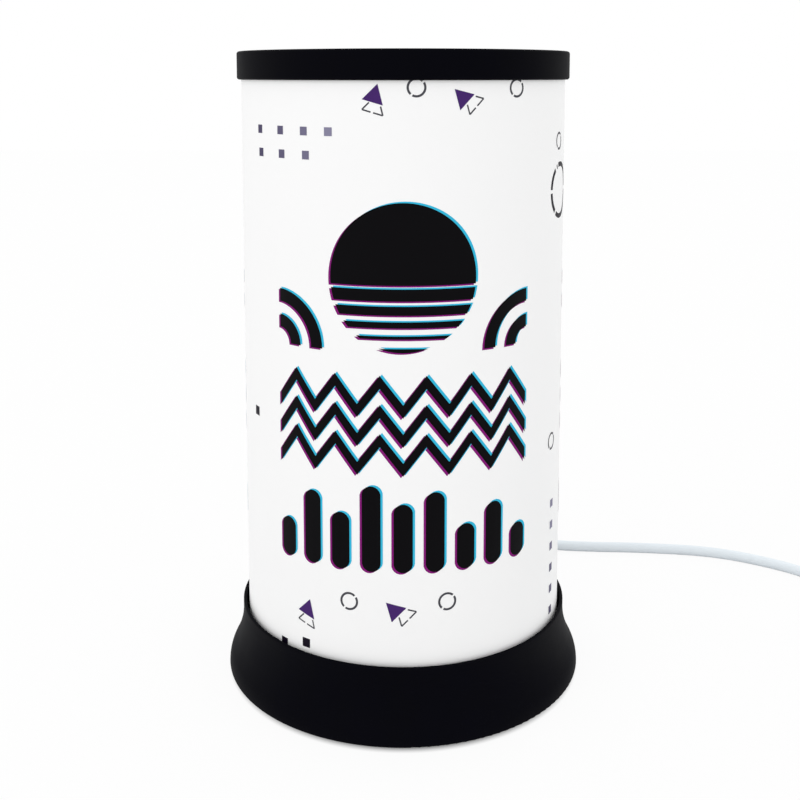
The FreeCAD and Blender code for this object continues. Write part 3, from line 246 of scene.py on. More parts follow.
class Shader:
    """A node tree that is written as expressions."""

    def __init__(self, tree: bpy.types.NodeTree) -> None:
        """Takes an empty place in the tree.

        Args:
            tree: The node tree, whose nodes are cleared.
        """
        self.tree = tree
        tree.nodes.clear()

    def node(
        self,
        kind: str,
        settings: Mapping[str, Any] | None = None,
        values: Mapping[str | int, Any] | None = None,
        output: str | int = 0,
    ) -> Value | None:
        """Adds any node.

        Args:
            kind: The node's type.
            settings: Its own settings, which are made first.
            values: What its input sockets hold or are linked to, by identifier, name or number.
            output: The output socket that is wanted.

        Returns:
            The wanted output, or nothing from a node that has none.
        """
        node = self.tree.nodes.new(kind)
        for name, setting in (settings or {}).items():
            setattr(node, name, setting)
        for key, value in (values or {}).items():
            socket = self.socket(node.inputs, key)
            if isinstance(value, Value):
                self.tree.links.new(value.socket, socket)
            elif socket.type == "RGBA":
                socket.default_value = (*value, 1.0)
            else:
                socket.default_value = value
        return Value(self, self.socket(node.outputs, output)) if node.outputs else None

    @staticmethod
    def socket(sockets: Sequence[bpy.types.NodeSocket], key: str | int) -> bpy.types.NodeSocket:
        """Finds one socket among a node's.

        Args:
            sockets: The node's inputs or outputs.
            key: The socket's place in the list, its identifier or its name.

        Returns:
            The socket.
        """
        if isinstance(key, int):
            return sockets[key]
        return next((s for s in sockets if s.identifier == key), None) or sockets[key]

    def blend(self, share: Any, low: Any, high: Any) -> Value:
        """A colour between two.

        Args:
            share: How far towards the second colour, from 0 to 1.
            low: The first colour.
            high: The second colour.

        Returns:
            The mixed colour.
        """
        colours = {"Factor_Float": share, "A_Color": low, "B_Color": high}
        return self.node("ShaderNodeMix", {"data_type": "RGBA"}, colours, "Result_Color")

    def noise(self, place: Value, size: float, detail: float = 2.0) -> Value:
        """Soft random patches.

        Args:
            place: The coordinates that the patches lie in.
            size: The patches' rough size in metres.
            detail: How many finer layers are added.

        Returns:
            A number round 0.5 at each point.
        """
        return self.node("ShaderNodeTexNoise", {}, {"Vector": place, "Scale": 1 / size, "Detail": detail})

    def stretched(self, place: Value, scale: Point) -> Value:
        """Coordinates drawn out along some of the axes.

        Args:
            place: The coordinates.
            scale: What each axis is multiplied by.

        Returns:
            The new coordinates.
        """
        return self.node("ShaderNodeMapping", {}, {"Vector": place, "Scale": scale})

    def ramp(self, value: Value, low: float, high: float) -> Value:
        """A number's rise from 0 to 1 between two of its own levels.

        Args:
            value: The number.
            low: The level where the result leaves 0.
            high: The level where it comes to 1.

        Returns:
            The share of the way.
        """
        return self.node("ShaderNodeMapRange", {}, {"Value": value, "From Min": low, "From Max": high})


class Grain(Enum):
    """The kinds of fine texture on the lamp's surfaces."""

    PEBBLED = "pebbled"
    BRUSHED = "brushed"
    TURNED = "turned"
    WOVEN = "woven"
    SMOOTH = "smooth"


@dataclass(frozen=True)
class Finish:
    """A surface: its colour, its gloss and the fine texture that it is felt by."""

    name: str
    colour: Colour
    roughness: float = 0.4
    metallic: float = 0.0
    specular: float = 0.5
    coat: float = 0.0
    coat_roughness: float = 0.15
    transmission: float = 0.0
    ior: float = 1.5
    drift: float = 0.05
    drift_size: float = 0.012
    gloss_drift: float = 0.1
    grain: Grain = Grain.PEBBLED
    grain_size: float = 0.0005
    relief: float = 0.00001
    brush_stretch: ClassVar[Point] = (1.0, 1.0, 0.03)
    turning_stretch: ClassVar[Point] = (0.05, 0.05, 1.0)
    smooth_spread: ClassVar[float] = 8.0

    def material(self) -> bpy.types.Material:
        """The finish as a material, made once.

        Returns:
            The material that pieces of this finish share.
        """
        made = bpy.data.materials.get(self.name)
        if made is None:
            made = bpy.data.materials.new(self.name)
            made.use_nodes = True
            made.diffuse_color = (*self.colour, 1.0)
            self.write(Shader(made.node_tree))
        return made

    def write(self, shader: Shader) -> None:
        """Writes the surface's nodes.

        Args:
            shader: The empty shader.
        """
        place = shader.node("ShaderNodeTexCoord", output="Object")
        patches = shader.noise(place, self.drift_size)
        surface = shader.node("ShaderNodeBsdfPrincipled", {}, {
            "Base Color": self.tinted(shader, patches),
            "Roughness": self.roughness + (patches - 0.5) * self.gloss_drift,
            "Metallic": self.metallic,
            "Specular IOR Level": self.specular,
            "Coat Weight": self.coat,
            "Coat Roughness": self.coat_roughness,
            "Transmission Weight": self.transmission,
            "IOR": self.ior,
            "Normal": self.bumped(shader, self.texture(shader, place)),
        })
        shader.node("ShaderNodeOutputMaterial", {}, {"Surface": surface})

    def tinted(self, shader: Shader, patches: Value) -> Value:
        """The colour, a little darker and lighter in patches.

        Args:
            shader: The shader to write in.
            patches: A number round 0.5 at each point.

        Returns:
            The colour at each point.
        """
        dark = tuple(c * (1 - self.drift) for c in self.colour)
        light = tuple(min(c * (1 + self.drift), 1.0) for c in self.colour)
        return shader.blend(patches, dark, light)

    def texture(self, shader: Shader, place: Value) -> Value:
        """The height of the fine texture.

        Args:
            shader: The shader to write in.
            place: The surface's own coordinates.

        Returns:
            A height from 0 to 1 at each point.
        """
        if self.grain is Grain.BRUSHED:
            return shader.noise(shader.stretched(place, self.brush_stretch), self.grain_size)
        if self.grain is Grain.TURNED:
            return shader.noise(shader.stretched(place, self.turning_stretch), self.grain_size)
        if self.grain is Grain.WOVEN:
            waves = [shader.node("ShaderNodeTexWave", {"bands_direction": axis}, {
                "Vector": place,
                "Scale": 1 / self.grain_size / math.tau,
            }) for axis in ("X", "Y", "Z")]
            return waves[0] * 0.5 + waves[1] * 0.25 + waves[2] * 0.25
        if self.grain is Grain.SMOOTH:
            return shader.noise(place, self.smooth_spread * self.grain_size, 1.0)
        return shader.noise(place, self.grain_size, 3.0)

    def bumped(self, shader: Shader, height: Value) -> Value:
        """The surface's normal with the fine texture on it.

        Args:
            shader: The shader to write in.
            height: The texture's height from 0 to 1.

        Returns:
            The normal at each point.
        """
        return shader.node("ShaderNodeBump", {}, {"Strength": 1.0, "Distance": self.relief, "Height": height})


@dataclass(frozen=True)
class Flecked(Finish):
    """A surface with fine flecks of a second colour, as fired clay and pressed fibre have."""

    fleck: Colour = (0.2, 0.2, 0.2)
    fleck_size: float = 0.0006
    fleck_share: float = 0.3

    def tinted(self, shader: Shader, patches: Value) -> Value:
        """The colour with its flecks.

        Args:
            shader: The shader to write in.
            patches: A number round 0.5 at each point.

        Returns:
            The colour at each point.
        """
        place = shader.node("ShaderNodeTexCoord", output="Object")
        flecks = shader.ramp(shader.noise(place, self.fleck_size, 1.0), 1 - self.fleck_share, 1.0)
        return shader.blend(flecks, super().tinted(shader, patches), self.fleck)


BLACK_SHELL = Finish("black_shell", screen(2, 2, 8), 0.62, specular=0.04, drift=0.3, relief=0.000012)
BLACK_FAN = Finish("black_fan", screen(10, 10, 13), 0.5, specular=0.2, drift=0.2)
BAKELITE = Finish("bakelite", screen(22, 20, 19), 0.22, coat=0.3, grain=Grain.SMOOTH)
STEATITE = Flecked("steatite", screen(226, 219, 202), 0.6, grain_size=0.0003, fleck=screen(190, 178, 156))
BRASS = Finish("brass", screen(205, 172, 104), 0.28, 1.0, grain=Grain.TURNED, grain_size=0.0002)
ZINC = Finish("zinc_plate", screen(196, 200, 204), 0.34, 1.0, drift=0.08, grain_size=0.0003)
BLACK_OXIDE = Finish("black_oxide", screen(26, 26, 28), 0.38, 0.6, grain_size=0.0002)
SOLDER = Finish("solder", screen(190, 190, 188), 0.45, 1.0, grain=Grain.SMOOTH)
BLACK_GLASS = Finish("black_glass", screen(24, 16, 30), 0.08, grain=Grain.SMOOTH)
NICKEL = Finish("nickel", screen(206, 201, 190), 0.2, 1.0, grain=Grain.TURNED, grain_size=0.0002)
CLEAR_GLASS = Finish("clear_glass", screen(250, 252, 252), 0.02, transmission=1.0, ior=1.45,
                     drift=0.01, gloss_drift=0.01, grain=Grain.SMOOTH, relief=0.000004)
STEM_GLASS = Finish("stem_glass", screen(236, 243, 244), 0.05, transmission=1.0, ior=1.52,
                    drift=0.02, gloss_drift=0.02, grain=Grain.SMOOTH)
TUNGSTEN = Finish("tungsten", screen(120, 118, 116), 0.4, 1.0, grain_size=0.0001)
STEEL_WIRE = Finish("steel_wire", screen(182, 185, 190), 0.3, 1.0, grain=Grain.BRUSHED, grain_size=0.0003)
NEEDLE_STEEL = Finish("needle_steel", screen(210, 212, 216), 0.12, 1.0, grain=Grain.TURNED, grain_size=0.0002)
WHITE_FILM = Finish("white_film", screen(251, 251, 251), 0.35, specular=0.3, drift=0.006, drift_size=0.05,
                    grain=Grain.SMOOTH, grain_size=0.0012, relief=0.000008)
CLEAR_STRIP = Finish("clear_strip", screen(244, 246, 246), 0.15, transmission=0.9, ior=1.48,
                     drift=0.01, grain=Grain.SMOOTH)
WHITE_PVC = Finish("white_pvc", screen(207, 223, 237), 0.33, specular=0.4, drift=0.025, grain=Grain.SMOOTH,
                   grain_size=0.0015, relief=0.00003)
BROWN_PVC = Finish("brown_pvc", screen(120, 72, 44), 0.35, grain=Grain.SMOOTH)
BLUE_PVC = Finish("blue_pvc", screen(60, 110, 196), 0.35, grain=Grain.SMOOTH)
FIBRE_BOARD = Flecked("fibre_board", screen(150, 74, 58), 0.75, drift=0.2, drift_size=0.002,
                      fleck=screen(96, 44, 34), fleck_size=0.0004, fleck_share=0.4)
TIE_STRAP = Finish("tie_strap", screen(40, 40, 43), 0.8, drift=0.15, grain=Grain.WOVEN, grain_size=0.0005,
                   relief=0.00012)
WHITE_CASE = Finish("white_case", screen(220, 230, 236), 0.36, specular=0.45, drift=0.02)
ROCKER = Finish("rocker_button", screen(212, 222, 229), 0.28, specular=0.5, drift=0.02)
ROCKER_MARK = Finish("rocker_mark", screen(84, 90, 96), 0.4, drift=0.05, grain_size=0.0002)
RUBBER = Finish("foot_rubber", screen(30, 30, 31), 0.85, specular=0.3, drift=0.15, grain_size=0.0003)


def ink(name: str, red: int, green: int, blue: int) -> Finish:
    """A printing ink on the film.

    Args:
        name: The finish's name.
        red: The red that a screen shows, from 0 to 255.
        green: The green that it shows.
        blue: The blue that it shows.

    Returns:
        The ink's finish, a little flatter than the film's.
    """
    return Finish(name, screen(red, green, blue), 0.42, specular=0.06, drift=0.06, drift_size=0.004,
                  grain=Grain.SMOOTH, grain_size=0.0008, relief=0.000004)


BLACK_INK = ink("black_ink", 5, 4, 7)
CYAN_INK = ink("cyan_ink", 52, 186, 222)
MAGENTA_INK = ink("magenta_ink", 132, 26, 118)
NIGHT_INK = ink("night_ink", 18, 11, 28)
PURPLE_INK = ink("purple_ink", 70, 40, 106)
GREY_INK = ink("grey_ink", 74, 74, 80)
FADING_INKS = tuple(ink(f"fading_ink_{k}", 78 + 19 * k, 72 + 20 * k, 100 + 19 * k) for k in range(4))


def wear(finish: Finish, node: str) -> None:
    """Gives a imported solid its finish.

    Args:
        finish: The finish.
        node: The solid's name.
    """
    materials = frame["nodes"][node].data.materials
    materials.clear()
    materials.append(finish.material())
    log.info("%s on %s", finish.name, node)


def piece(name: str, mesh: bmesh.types.BMesh, body: str, slot: str, finish: Finish) -> bpy.types.Object:
    """Makes a finished piece of a mesh that is already in its place.

    Args:
        name: The piece's name.
        mesh: Its mesh, which is freed.
        body: The body that it moves with.
        slot: The record's material slot that it takes its finish from.
        finish: Its finish.

    Returns:
        The piece.
    """
    data = bpy.data.meshes.new(name)
    bmesh.ops.recalc_face_normals(mesh, faces=mesh.faces)
    mesh.to_mesh(data)
    mesh.free()
    data.shade_smooth()
    data.set_sharp_from_angle(angle=math.radians(SHARP_EDGE))
    data.materials.append(finish.material())
    made = bpy.data.objects.new(name, data)
    bpy.context.scene.collection.objects.link(made)
    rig.ride(made, body)
    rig.slot(made, slot)
    log.info("%s: %d faces on %s", name, len(data.polygons), body)
    return made


class SubAssembly:
    """A part of the lamp that is built and finished together."""

    finishes: ClassVar[Mapping[str, Finish]] = {}

    def dress(self) -> None:
        """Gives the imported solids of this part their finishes."""
        for node, finish in self.finishes.items():
            wear(finish, node)

    def build(self) -> None:
        """Finishes the part. One with pieces of its own makes them as well."""
        self.dress()


@dataclass(frozen=True)
class Studio:
    """The camera at the photograph's viewpoint, with a pale floor and soft white light."""

    camera_distance: float = 0.4284
    camera_height: float = 0.2277
    camera_pitch: float = 6.55
    sensor: float = 36.0
    frame_pixels: float = 800.0
    focal_pixels: float = 1138.0
    axis_pixel: float = 403.2
    level_pixel: float = 205.0
    nearest_seen: float = 0.01
    floor_size: float = 3.0
    floor_own_white: float = 0.9
    floor_albedo: float = 0.7
    # Painted shadow under the base: within this radius the floor's own white glow is masked off, fading out over the
    # edge.
    painted_shadow_radius: float = 0.064
    painted_shadow_edge: float = 0.004
    floor_glow: float = 1.02
    ambient: float = 1.06
    key_place: Point = (-0.7, -0.9, 0.9)
    key_size: float = 0.9
    key_power: float = 1.5

    def build(self) -> None:
        """Sets up the camera, the light and the floor."""
        self.place_camera()
        self.light()
        self.lay_floor()

    def place_camera(self) -> None:
        """Puts the camera in front of the lamp, looking slightly down."""
        lens = bpy.data.cameras.new("photo_view")
        lens.sensor_width = self.sensor
        lens.lens = self.focal_pixels / self.frame_pixels * self.sensor
        lens.shift_x = 0.5 - self.axis_pixel / self.frame_pixels
        lens.shift_y = self.level_pixel / self.frame_pixels - 0.5
        lens.clip_start = self.nearest_seen
        camera = bpy.data.objects.new("photo_view", lens)
        camera.location = (0.0, -self.camera_distance, self.camera_height)
        camera.rotation_euler = (math.radians(90 - self.camera_pitch), 0.0, 0.0)
        bpy.context.scene.collection.objects.link(camera)
        bpy.context.scene.camera = camera

    @staticmethod
    def seen(shader: Shader) -> Value:
        """Tells what the eye sees, straight, mirrored or through glass, from what only lights the lamp.

        Args:
            shader: The shader to write in.

        Returns:
            1 where the eye sees it, and 0 elsewhere.
        """
        ways = ("Is Camera Ray", "Is Glossy Ray", "Is Transmission Ray")
        camera, glossy, glass = (shader.node("ShaderNodeLightPath", output=way) for way in ways)
        return (camera + glossy + glass).at_most(1.0)

    def light(self) -> None:
        """Fills the room with even white light and adds one soft lamp at the upper left."""
        world = bpy.data.worlds.new("white_room")
        world.use_nodes = True
        bpy.context.scene.world = world
        shader = Shader(world.node_tree)
        strength = self.ambient + self.seen(shader) * (1 - self.ambient)
        glow = shader.node("ShaderNodeBackground", {}, {"Color": WHITE, "Strength": strength})
        shader.node("ShaderNodeOutputWorld", {}, {"Surface": glow})
        key = bpy.data.lights.new("key_light", "AREA")
        key.shape = "DISK"
        key.size = self.key_size
        key.energy = self.key_power
        holder = bpy.data.objects.new("key_light", key)
        holder.location = self.key_place
        holder.rotation_euler = (-Vector(self.key_place)).to_track_quat("-Z", "Y").to_euler()
        bpy.context.scene.collection.objects.link(holder)

    def lay_floor(self) -> None:
        """Lays a white floor that keeps the lamp's soft shadow, with a painted shadow under the base, where its own
        white glow is masked off.
        """
        mesh = bmesh.new()
        bmesh.ops.create_grid(mesh, x_segments=1, y_segments=1, size=self.floor_size)
        data = bpy.data.meshes.new("floor")
        mesh.to_mesh(data)
        mesh.free()
        cover = bpy.data.materials.new("white_floor")
        cover.use_nodes = True
        shader = Shader(cover.node_tree)
        matt = shader.node("ShaderNodeBsdfDiffuse", {}, {"Color": (self.floor_albedo,) * 3})
        white = shader.node("ShaderNodeEmission", {}, {"Color": WHITE, "Strength": self.floor_glow})
        place = shader.node("ShaderNodeTexCoord", output="Object")
        reach = shader.node("ShaderNodeVectorMath", {"operation": "LENGTH"}, {0: place}, "Value")
        # Painted shadow: the floor's own white glow is masked off under the base, so it shows darker there.
        clear = shader.ramp(reach, self.painted_shadow_radius, self.painted_shadow_radius + self.painted_shadow_edge)
        share = self.seen(shader) * clear * self.floor_own_white
        mixed = shader.node("ShaderNodeMixShader", {}, {0: share, 1: matt, 2: white})
        shader.node("ShaderNodeOutputMaterial", {}, {"Surface": mixed})
        data.materials.append(cover)
        floor = bpy.data.objects.new("floor", data)
        bpy.context.scene.collection.objects.link(floor)
        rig.stage(floor)


@dataclass(frozen=True)
class Lead:
    """The mains lead: from its bush to the inline switch, round its coil and on to the plug."""

    diameter: float = 0.0046
    tube_sides: int = 5
    steps: int = 10
    bush_tip: float = 0.0892
    bush_bore: float = 0.008
    exit_angle: float = 60.0
    exit_height: float = 0.0082
    to_switch: tuple[Point, ...] = (
        (0.0520, 0.0901, 0.0072),
        (0.0676, 0.0972, 0.0030),
        (0.0856, 0.0960, 0.0023),
        (0.1160, 0.0948, 0.0023),
        (0.1480, 0.0902, 0.0023),
        (0.1720, 0.0770, 0.0023),
        (0.1861, 0.0643, 0.0023),
        (0.1951, 0.0499, 0.0029),
        (0.1986, 0.0353, 0.0059),
    )
    switch_in: tuple[Point, ...] = ((0.1987, 0.0233, 0.0062), (0.1987, 0.0153, 0.0062))
    switch_out: tuple[Point, ...] = ((0.1987, -0.0227, 0.0062), (0.1987, -0.0307, 0.0062))
    to_coil: tuple[Point, ...] = (
        (0.1987, -0.0377, 0.0059),
        (0.1987, -0.0467, 0.0035),
        (0.1987, -0.0530, 0.00325),
    )
    to_plug: tuple[Point, ...] = (
        (0.2714, -0.0530, 0.00835),
        (0.2716, -0.0430, 0.0082),
        (0.2726, -0.0310, 0.0076),
        (0.2730, -0.0190, 0.0070),
        (0.2730, -0.0090, 0.00685),
    )
    coil_entry: tuple[float, float] = (0.1987, -0.0576)
    coil_inner_radius: float = 0.0185
    coil_half_turns: int = 8
    coil_pitch: float = 0.0051
    coil_low: float = 0.00325
    points_per_half_turn: int = 8
    switch_pieces: ClassVar[tuple[str, ...]] = (
        "strain_relief", "switch_base", "switch_cover", "switch_rocker", "contact_bridge", "rocker_pin",
        "switch_contacts", "switch_screws",
    )
    plug_pieces: ClassVar[tuple[str, ...]] = ("coil_tie", "plug_body", "plug_pins", "pin_sleeves")

    def build(self) -> None:
        """Lays both stretches of the lead."""
        tip = self.along_exit(self.bush_tip)
        inner = self.along_exit(self.bush_tip - self.bush_bore)
        first = self.lay("lead_to_switch", [inner, tip, *self.to_switch, *self.switch_in])
        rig.replaces(first, "cord_to_switch")
        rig.cord(first, exit=tip, length=0.219, diameter=self.diameter, far_end="fitting",
                with_pieces=self.switch_pieces)
        second = self.lay("lead_to_plug", [*self.switch_out, *self.to_coil, *self.coil(), *self.to_plug])
        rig.replaces(second, "cord_to_coil", "cord_coil", "cord_to_plug")
        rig.cord(second, exit=self.switch_out[-1], length=1.52, diameter=self.diameter, far_end="plug",
                lay="coiled", with_pieces=self.plug_pieces)

    def along_exit(self, reach: float) -> Point:
        """A point on the line that the lead leaves the base by.

        Args:
            reach: Its distance from the lamp's axis.

        Returns:
            The point.
        """
        angle = math.radians(self.exit_angle)
        return reach * math.cos(angle), reach * math.sin(angle), self.exit_height

    def coil(self) -> list[Point]:
        """The coil's points: round and in on the floor, up a layer, and round and out on top.

        Returns:
            The control points, which stand a little outside the turns because the line cuts its corners.
        """
        step = self.coil_pitch / 2
        high = self.coil_low + self.coil_pitch
        radii = [self.coil_inner_radius + step * k for k in reversed(range(self.coil_half_turns))]
        turns = [(radius, self.coil_low, self.coil_low) for radius in radii]
        turns.append((self.coil_inner_radius - step, self.coil_low, high))
        turns += [(radius, high, high) for radius in reversed(radii)]
        outside = 1 / math.cos(math.pi / self.points_per_half_turn / 2)
        x, y = self.coil_entry
        points = []
        for number, (radius, start, end) in enumerate(turns):
            way = -1 if number % 2 else 1
            for k in range(self.points_per_half_turn):
                angle = math.pi * (k + 0.5) / self.points_per_half_turn
                across = radius * (1 - math.cos(angle) * outside)
                rise = (end - start) * (1 - math.cos(angle)) / 2
                points.append((x + way * across, y - way * radius * math.sin(angle) * outside, start + rise))
            x += 2 * radius * way
        return points

    def lay(self, name: str, points: Sequence[Point]) -> bpy.types.Object:
        """Makes one stretch of the lead along a smooth line.

        Args:
            name: The piece's name.
            points: The line's control points.

        Returns:
            The piece.
        """
        curve = bpy.data.curves.new(name, "CURVE")
        curve.dimensions = "3D"
        curve.bevel_depth = self.diameter / 2
        curve.bevel_resolution = self.tube_sides
        curve.resolution_u = self.steps
        curve.use_fill_caps = True
        spline = curve.splines.new("NURBS")
        spline.points.add(len(points) - 1)
        for target, point in zip(spline.points, points):
            target.co = (*point, 1.0)
        spline.order_u = 3
        spline.use_endpoint_u = True
        spline.use_smooth = True
        curve.materials.append(WHITE_PVC.material())
        made = bpy.data.objects.new(name, curve)
        bpy.context.scene.collection.objects.link(made)
        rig.ride(made, "base")
        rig.slot(made, "white_pvc")
        log.info("%s: %d points", name, len(points))
        return made


@dataclass(frozen=True)
class Sheet:
    """One ink of the print, drawn flat. X runs right of the lamp's front and Y up, both in millimetres."""

    mesh: bmesh.types.BMesh = field(default_factory=bmesh.new)
    disc_corners: ClassVar[int] = 96
    end_corners: ClassVar[int] = 20
    arc_step: ClassVar[float] = 6.0

    def shape(self, x: float, y: float, radius: float, corners: int, turn: float = 0.0) -> list[bmesh.types.BMVert]:
        """Draws a filled regular shape, which is a disc if it has many corners.

        Args:
            x: Its centre, to the right.
            y: Its centre's height.
            radius: The radius of the circle through its corners.
            corners: How many corners it has.
            turn: The angle of its first corner, from the right and anticlockwise.

        Returns:
            Its corners.
        """
        at = Matrix.Translation((x, y, 0.0)) @ Matrix.Rotation(math.radians(turn - 90), 4, "Z")
        made = bmesh.ops.create_circle(self.mesh, cap_ends=True, segments=corners, radius=radius, matrix=at)
        return made["verts"]

    def square(self, x: float, y: float, side: float) -> None:
        """Draws an upright square round a centre."""
        self.shape(x, y, side / math.sqrt(2), 4, 45.0)

    def stroke(self, start: Sequence[float], runs: Sequence[Sequence[float]], edge: Sequence[float]) -> None:
        """Draws a band by drawing a short edge along.

        Args:
            start: The middle of the edge's first place.
            runs: How far the edge goes in each run, right and up.
            edge: The edge's own length, right and up.
        """
        middle = Vector((*start, 0.0))
        half = Vector((*edge, 0.0)) / 2
        ends = [self.mesh.verts.new(middle - half), self.mesh.verts.new(middle + half)]
        line = self.mesh.edges.new(ends)
        for run in runs:
            grown = bmesh.ops.extrude_edge_only(self.mesh, edges=[line])["geom"]
            line = next(e for e in grown if isinstance(e, bmesh.types.BMEdge))
            bmesh.ops.translate(self.mesh, verts=line.verts, vec=(*run, 0.0))

    def line(self, start: Sequence[float], end: Sequence[float], width: float) -> None:
        """Draws a straight line.

        Args:
            start: The middle of its first end.
            end: The middle of its other end.
            width: Its width.
        """
        along = Vector(end) - Vector(start)
        across = along.orthogonal().normalized() * width
        self.stroke(start, [along], across)

    def arc(self, x: float, y: float, radius: float, width: float, start: float, end: float) -> None:
        """Draws an arc.

        Args:
            x: Its centre, to the right.
            y: Its centre's height.
            radius: The radius at the middle of its line.
            width: The line's width.
            start: The angle it starts at, from the right and anticlockwise.
            end: The angle it ends at.
        """
        ends = [self.mesh.verts.new((radius + side * width / 2, 0.0, 0.0)) for side in (-1, 1)]
        geometry = [*ends, self.mesh.edges.new(ends)]
        turn = Matrix.Rotation(math.radians(start), 3, "Z")
        bmesh.ops.rotate(self.mesh, verts=ends, cent=(0.0, 0.0, 0.0), matrix=turn)
        bmesh.ops.translate(self.mesh, verts=ends, vec=(x, y, 0.0))
        steps = max(round((end - start) / self.arc_step), 2)
        bmesh.ops.spin(self.mesh, geom=geometry, cent=(x, y, 0.0), axis=(0.0, 0.0, 1.0),
                       angle=math.radians(end - start), steps=steps)

    def slice(self, x: float, y: float, radius: float, low: float, high: float) -> None:
        """Draws the part of a disc between two heights.

        Args:
            x: The disc's centre, to the right.
            y: The disc's centre's height.
            radius: The disc's radius.
            low: The lower height, over the centre.
            high: The upper height, over the centre.
        """
        loose = self.shape(x, y, radius, self.disc_corners)
        for height, side in ((low, -1), (high, 1)):
            faces = {face for vert in loose for face in vert.link_faces}
            edges = {edge for vert in loose for edge in vert.link_edges}
            cut = bmesh.ops.bisect_plane(self.mesh, geom=[*loose, *edges, *faces], clear_outer=True,
                                         plane_co=(0.0, y + height, 0.0), plane_no=(0.0, side, 0.0))
            loose = [g for g in cut["geom"] if isinstance(g, bmesh.types.BMVert)]

    def capsule(self, x: float, low: float, high: float, width: float) -> None:
        """Draws an upright bar with round ends.

        Args:
            x: Its middle, to the right.
            low: The height of its lower end.
            high: The height of its upper end.
            width: Its width.
        """
        radius = width / 2 / math.cos(math.pi / self.end_corners)
        verts = self.shape(x, low + width / 2, radius, self.end_corners, 180 / self.end_corners)
        top = [vert for vert in verts if vert.co.y > low + width / 2]
        bmesh.ops.translate(self.mesh, verts=top, vec=(0.0, high - low - width, 0.0))

    def moved(self, right: float, up: float) -> "Sheet":
        """Copies the sheet to a place beside its own.

        Args:
            right: How far the copy moves to the right.
            up: How far it moves up.

        Returns:
            The copy.
        """
        copy = Sheet(self.mesh.copy())
        bmesh.ops.translate(copy.mesh, verts=copy.mesh.verts, vec=(right, up, 0.0))
        return copy

    def wrapped(self, radius: float, lift: float, thickness: float, strip: float) -> bmesh.types.BMesh:
        """Turns the flat sheet into thin closed films of ink round the shade.

        Args:
            radius: The shade's radius.
            lift: The height of the ink's underside over the shade.
            thickness: The ink's thickness.
            strip: The width of the flat strips that the ink bends in.

        Returns:
            The wrapped mesh, in metres.
        """
        mesh = self.mesh.copy()
        count = math.ceil(math.pi * radius / strip)
        for number in range(-count, count + 1):
            geometry = [*mesh.verts, *mesh.edges, *mesh.faces]
            bmesh.ops.bisect_plane(mesh, geom=geometry, plane_co=(number * strip, 0.0, 0.0), plane_no=(1.0, 0.0, 0.0))
        raised = bmesh.ops.extrude_face_region(mesh, geom=mesh.faces[:], use_keep_orig=True)["geom"]
        upper = [g for g in raised if isinstance(g, bmesh.types.BMVert)]
        bmesh.ops.translate(mesh, verts=upper, vec=(0.0, 0.0, thickness))
        for vert in mesh.verts:
            reach = (radius + lift + vert.co.z) / 1000
            angle = vert.co.x / radius
            vert.co = (reach * math.sin(angle), -reach * math.cos(angle), vert.co.y / 1000)
        return mesh


@dataclass(frozen=True)
class Artwork:
    """The big motifs of one panel: a striped disc between arcs, zigzags and a row of bars."""

    disc_height: float = 161.0
    disc_radius: float = 25.0
    slit_heights: tuple[float, ...] = (-3.0, -8.5, -13.5, -18.0, -22.0)
    first_slit: float = 1.2
    slit_growth: float = 0.5
    arc_reach: float = 47.0
    arc_base: float = 136.0
    arc_radii: tuple[float, ...] = (7.5, 16.5)
    stroke: float = 4.5
    zigzag_heights: tuple[float, ...] = (121.0, 111.0, 101.0)
    zigzag_reach: float = 47.0
    zigzag_rise: float = 5.0
    zigzag_runs: int = 12
    bar_base: float = 60.0
    bar_pitch: float = 10.9
    bar_width: float = 6.5
    bar_heights: tuple[float, ...] = (14.0, 26.0, 20.0, 30.0, 24.0, 28.0, 16.0, 22.0, 12.0)

    def draw(self, sheet: Sheet, middle: float) -> None:
        """Draws one panel.

        Args:
            sheet: The sheet to draw on.
            middle: The panel's middle, to the right of the front.
        """
        self.draw_disc(sheet, middle)
        for radius in self.arc_radii:
            sheet.arc(middle - self.arc_reach, self.arc_base, radius, self.stroke, 0.0, 90.0)
            sheet.arc(middle + self.arc_reach, self.arc_base, radius, self.stroke, 90.0, 180.0)
        for height in self.zigzag_heights:
            run = 2 * self.zigzag_reach / self.zigzag_runs
            runs = [(run, 2 * self.zigzag_rise * (-1) ** k) for k in range(self.zigzag_runs)]
            start = (middle - self.zigzag_reach, height - self.zigzag_rise)
            sheet.stroke(start, runs, (0.0, self.stroke))
        for number, height in enumerate(self.bar_heights):
            x = middle + (number - (len(self.bar_heights) - 1) / 2) * self.bar_pitch
            sheet.capsule(x, self.bar_base, self.bar_base + height, self.bar_width)

    def draw_disc(self, sheet: Sheet, middle: float) -> None:
        """Draws the disc as the slices that its slits leave.

        Args:
            sheet: The sheet to draw on.
            middle: The panel's middle, to the right of the front.
        """
        top = self.disc_radius + 1
        for number, height in enumerate(self.slit_heights):
            half = (self.first_slit + self.slit_growth * number) / 2
            sheet.slice(middle, self.disc_height, self.disc_radius, height + half, top)
            top = height - half
        sheet.slice(middle, self.disc_height, self.disc_radius, -self.disc_radius - 1, top)


